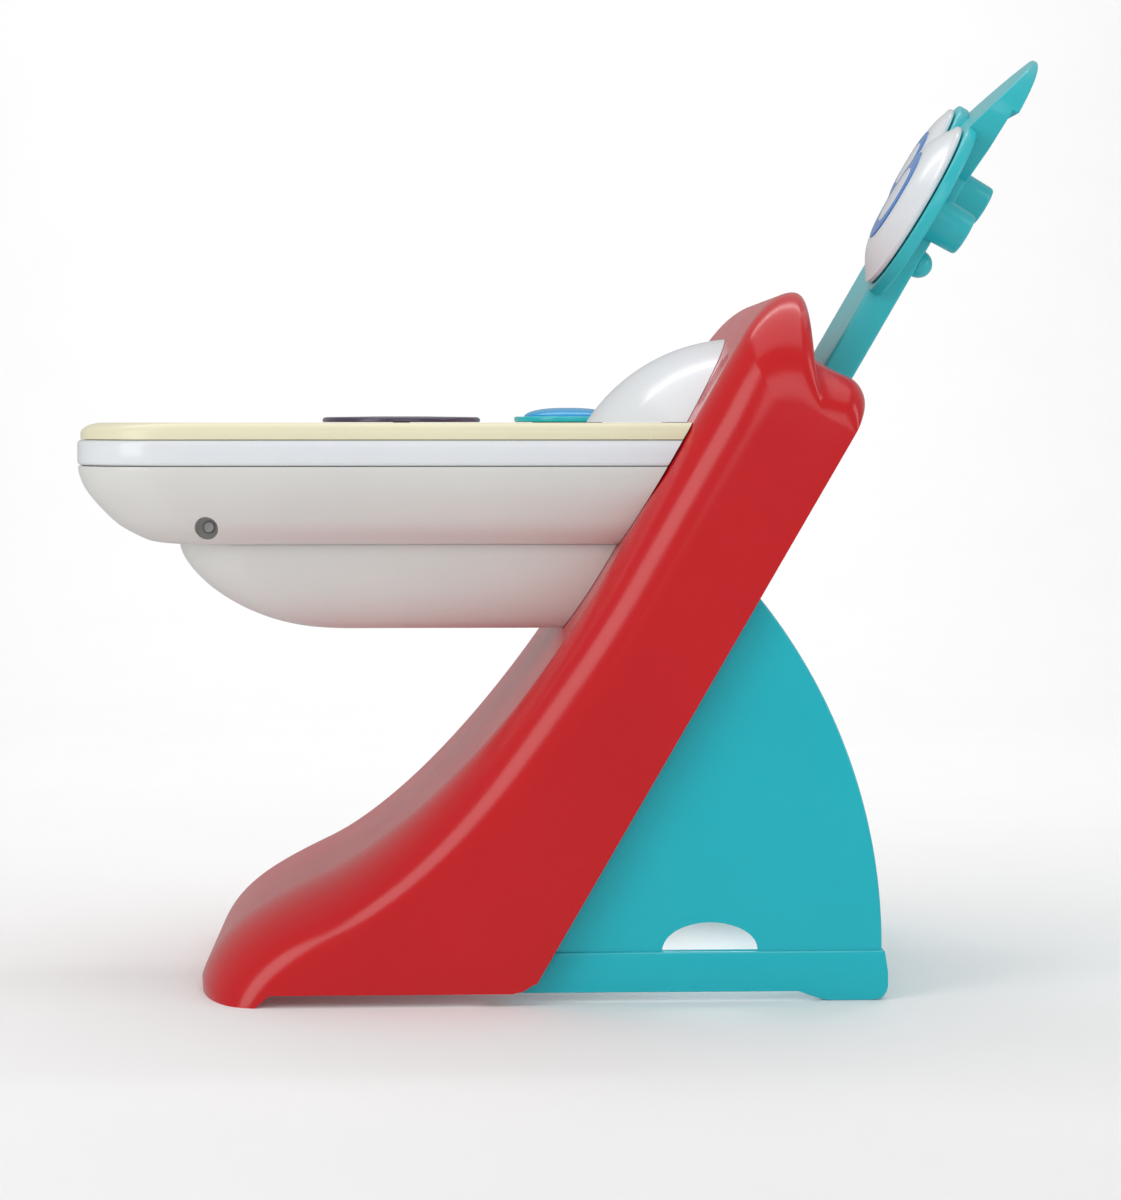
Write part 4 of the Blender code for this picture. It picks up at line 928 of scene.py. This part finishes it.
def power_switch():
    y, t = SWITCH_CENTRE
    inside = -(COLUMN_FRONT - WALL - GAP)
    knob = softened(box((-COLUMN_FRONT - 3, inside + 1), (y - 5, y + 5), (t - 12, t)), 0.8)
    slider = softened(box((inside, inside + 2.5), (y - 10, y + 10), (t - 17, t + 5)), 0.4)
    ridges = []
    for low in (t - 10.0, t - 7.0, t - 4.0):
        ridge = box((-COLUMN_FRONT - 4, -COLUMN_FRONT - 2.5), (y - 4.4, y + 4.4), (low, low + 1.4))
        ridges.append(softened(ridge, 0.3))
    made = leaned(add(knob, slider, *ridges))
    return finished("power_switch_ridged", made, BLUE, "switch", ["power_switch"])


# ---------------------------------------------------------------- sign plank

def circle(cy, ct, radius, count=120):
    angles = [2 * math.pi * i / count for i in range(count)]
    return [(cy + radius * math.cos(a), ct + radius * math.sin(a)) for a in angles]


def plank_top():
    """The leaf at the plank's upper end, as (y, t) points."""
    points = [(-58.0, 588.0), (58.0, 588.0)]
    points += bezier((78.0, 612.0), (88.0, 644.0), (60.0, 679.0), (0.0, 689.5), 26)
    points += bezier((0.0, 689.5), (-50.0, 687.0), (-86.0, 664.0), (-84.0, 632.0), 26)
    return points + [(-84.0, 632.0), (-78.0, 612.0)]


def boss(spin):
    end = spin["boss_end"]
    root = PLANK_FRONT - 4
    profile = [(0, end), (BOSS_RADIUS - 3, end), (BOSS_RADIUS - 1.3, end + 0.4),
               (BOSS_RADIUS - 0.4, end + 1.3), (BOSS_RADIUS, end + 3), (BOSS_RADIUS + 1, root), (0, root)]
    return on_plank(turned(profile, 72), spin["y"], spin["t"])


def sign_plank():
    stem = upright_plate([(-PLANK_HALF, PLANK_ROOT), (PLANK_HALF, PLANK_ROOT), (PLANK_HALF, 602),
                          (-PLANK_HALF, 602)], PLANK_BACK, PLANK_FRONT)
    wheels = []
    for spin, margin in ((LOWER_SPINNER, 4), (UPPER_SPINNER, 5)):
        outline = circle(spin["y"], spin["t"], spin["radius"] + margin)
        wheels.append(softened(upright_plate(outline, PLANK_FRONT - 8, PLANK_FRONT), 1.5, 4))
    leaf = upright_plate(plank_top(), LEAF_BACK, PLANK_FRONT - 0.5)
    taper_start = Matrix.Translation((-PLANK_FRONT, 0, 612))
    taper_turn = Matrix.Rotation(math.radians(16.5), 4, "Y")
    taper = leaned(moved(box((-120, 0), (-160, 160), (0, 90)), taper_start @ taper_turn))
    step = leaned(box((-PLANK_BACK, 0), (-160, 160), (560, LEAF_LOW)))
    leaf = softened(cut(leaf, taper, step), 2.2, 4, 24)
    bossed = add(softened(stem, 2.5, 4), boss(UPPER_SPINNER), boss(LOWER_SPINNER))
    plank = add(bossed, *wheels, leaf)
    tools = []
    for spin in (LOWER_SPINNER, UPPER_SPINNER):
        y, t, end = spin["y"], spin["t"], spin["boss_end"]
        tools.append(on_plank(rod(BOSS_RADIUS - 3.5, end + 3, PLANK_BACK + 6), y, t))
        tools.append(on_plank(rod(AXLE_RADIUS + GAP, end + 2, 80), y, t))
    tools += [on_plank(rod(2.1, PLANK_BACK + 6, 90, 24), y, t) for y, t in PLANK_SCREWS]
    return finished("plank_moulding", cut(plank, *tools), TEAL_PLANK, "stand", ["sign_plank"])


def plank_cap():
    """The small round-ended cap low on the plank's back."""
    radius, depth, back = 9.4, 10.0, PLANK_BACK - GAP
    angles = [math.pi / 2 * i / 12 for i in range(13)]
    profile = [(radius * math.sin(a), back - depth * math.cos(a)) for a in angles]
    cap = on_plank(turned(profile + [(0, back)], 64), -46, 527)
    return finished("plank_cap_round", cap, TEAL_PLANK, "stand", ["plank_cap"])


def spinners():
    for name, spin in (("lower", LOWER_SPINNER), ("upper", UPPER_SPINNER)):
        seat, radius, dome = spin["seat"], spin["radius"], spin["dome"]
        body, place = name + "_wheel", (spin["y"], spin["t"])
        edge, inner = 3.0, spin["radius"] * 0.55
        profile = [(0, seat + 1.5), (radius - 5, seat + 1.5), (radius - 5, seat), (radius - 1, seat),
                   (radius - 0.3, seat + 0.6), (radius, seat + edge * 0.6), (radius - 0.3, seat + edge)]
        for i in range(1, 19):
            share = i / 18
            r = radius - 1.0 - (radius - 1.0 - inner) * share
            profile.append((r, seat + edge + (dome - edge) * math.sin(math.pi / 2 * share)))
        profile += [(inner, seat + dome - 1.0), (0, seat + dome - 1.0)]
        disc = cut(turned(profile, 128), rod(AXLE_RADIUS + GAP, 0, seat + dome - 4))
        finished(name + "_spinner_domed", on_plank(disc, *place), WHITE, body,
                 [name + "_spinner"])
        top = seat + dome
        face = softened(turned([(0, top - 0.7), (inner - GAP, top - 0.7), (inner - GAP, top + 0.7),
                                (inner * 0.72, top + 1.1), (0, top + 1.1)], 128), 0.35)
        finished(name + "_spinner_inlay", on_plank(face, *place), BLUE_RING, body,
                 [name + "_spinner_face"])
        hub = turned([(0, top + 0.9), (inner * 0.62, top + 0.9), (inner * 0.61, top + 1.3),
                      (inner * 0.5, top + 1.6), (0, top + 1.6)], 96)
        finished(name + "_spinner_hub", on_plank(hub, *place), WHITE, body)


# ---------------------------------------------------------------- studio, in metres

def studio():
    """A pale floor that curves up behind the object."""
    bm = bmesh.new()
    profile = [(-3.0, 0.0), (1.6, 0.0)]
    profile += [(1.6 + 1.2 * math.sin(math.pi / 2 * i / 12), 1.2 - 1.2 * math.cos(math.pi / 2 * i / 12))
                for i in range(1, 13)]
    profile.append((2.8, 4.0))
    verts = [bm.verts.new((-4.0, y, z)) for y, z in profile]
    edges = [bm.edges.new(pair) for pair in zip(verts, verts[1:])]
    grown = bmesh.ops.extrude_edge_only(bm, edges=edges)
    moving = [v for v in grown["geom"] if isinstance(v, bmesh.types.BMVert)]
    bmesh.ops.translate(bm, vec=(8, 0, 0), verts=moving)
    bmesh.ops.recalc_face_normals(bm, faces=bm.faces)
    floor = to_object(bm, "studio_floor")
    floor.data.shade_smooth()
    floor.data.materials.append(tint("studio_paper", (0.93, 0.93, 0.93), (0.92, 0.92, 0.92), 0.8, coat=0.0))
    floor.visible_glossy = False


def soft_light(name, place, size, power, colour=(1, 1, 1), aim=(0.0, 0.0, 0.28)):
    data = bpy.data.lights.new(name, "AREA")
    data.shape = "RECTANGLE"
    data.size, data.size_y = size
    data.energy = power
    data.color = colour
    lamp = bpy.data.objects.new(name, data)
    lamp.location = place
    lamp.rotation_euler = (Vector(aim) - Vector(place)).to_track_quat("-Z", "Y").to_euler()
    bpy.context.scene.collection.objects.link(lamp)


def lights():
    soft_light("overhead_bank", (0.0, 0.1, 1.9), (2.0, 2.0), 12)
    soft_light("left_strip", (-1.5, -1.3, 1.0), (1.0, 1.7), 12)
    soft_light("front_bank", (0.3, -2.6, 1.3), (1.8, 1.2), 9)
    soft_light("right_strip", (1.7, -0.6, 0.9), (0.5, 1.4), 5)
    soft_light("backdrop_bank", (0.0, 1.2, 2.4), (2.8, 0.8), 30, aim=(0.0, 2.6, 0.9))
    soft_light("under_leg_glow", (0.09, 0.0, 0.14), (0.1, 0.2), 0.25, aim=(0.09, 0.0, 0.0))
    world = bpy.data.worlds.new("studio_air")
    world.use_nodes = True
    air = world.node_tree.nodes["Background"]
    air.inputs["Color"].default_value = (1.0, 1.0, 1.0, 1)
    air.inputs["Strength"].default_value = 0.42
    bpy.context.scene.world = world


def camera():
    """A long lens a little in front of square-on to the side, looking slightly down."""
    reach, height, aside = 2.076, 0.368, 0.0037
    yaw, pitch = math.radians(2.2), math.radians(3.34)
    data = bpy.data.cameras.new("camera")
    data.lens = 91.2
    data.sensor_width = 36
    lens = bpy.data.objects.new("camera", data)
    lens.location = (-math.sin(yaw) * reach - math.cos(yaw) * aside,
                     -math.cos(yaw) * reach + math.sin(yaw) * aside, height)
    lens.rotation_euler = (math.pi / 2 - pitch, 0, -yaw)
    bpy.context.scene.collection.objects.link(lens)
    bpy.context.scene.camera = lens


# ---------------------------------------------------------------- everything

NODE_FINISH = {"red_plastic": RED, "teal_plastic": TEAL, "cream_plastic": CREAM, "white_plastic": WHITE,
               "grey_white_plastic": SHELL, "purple_plastic": PURPLE, "blue_plastic": BLUE, "steel": STEEL,
               "cell_wrap": CELL, "black_plastic": BLACK, "green_board": BOARD}


def finish_frame_nodes():
    """Gives every CAD node that stays the finish of its slot."""
    for entry in frame["record"]["subparts"]:
        node = bpy.data.objects[entry["node"]]
        node.data.materials.clear()
        node.data.materials.append(NODE_FINISH[entry["material_slot"]])


finish_frame_nodes()
pedestal()
back_cover()
lock_knob()
screws()
rear_leg()
tray_deck()
tray_rim()
tray_bowl()
tray_belly()
battery_door()
record_disc()
drum()
light_dome()
power_switch()
sign_plank()
plank_cap()
spinners()
studio()
lights()
camera()
bpy.context.scene.view_settings.view_transform = "Standard"
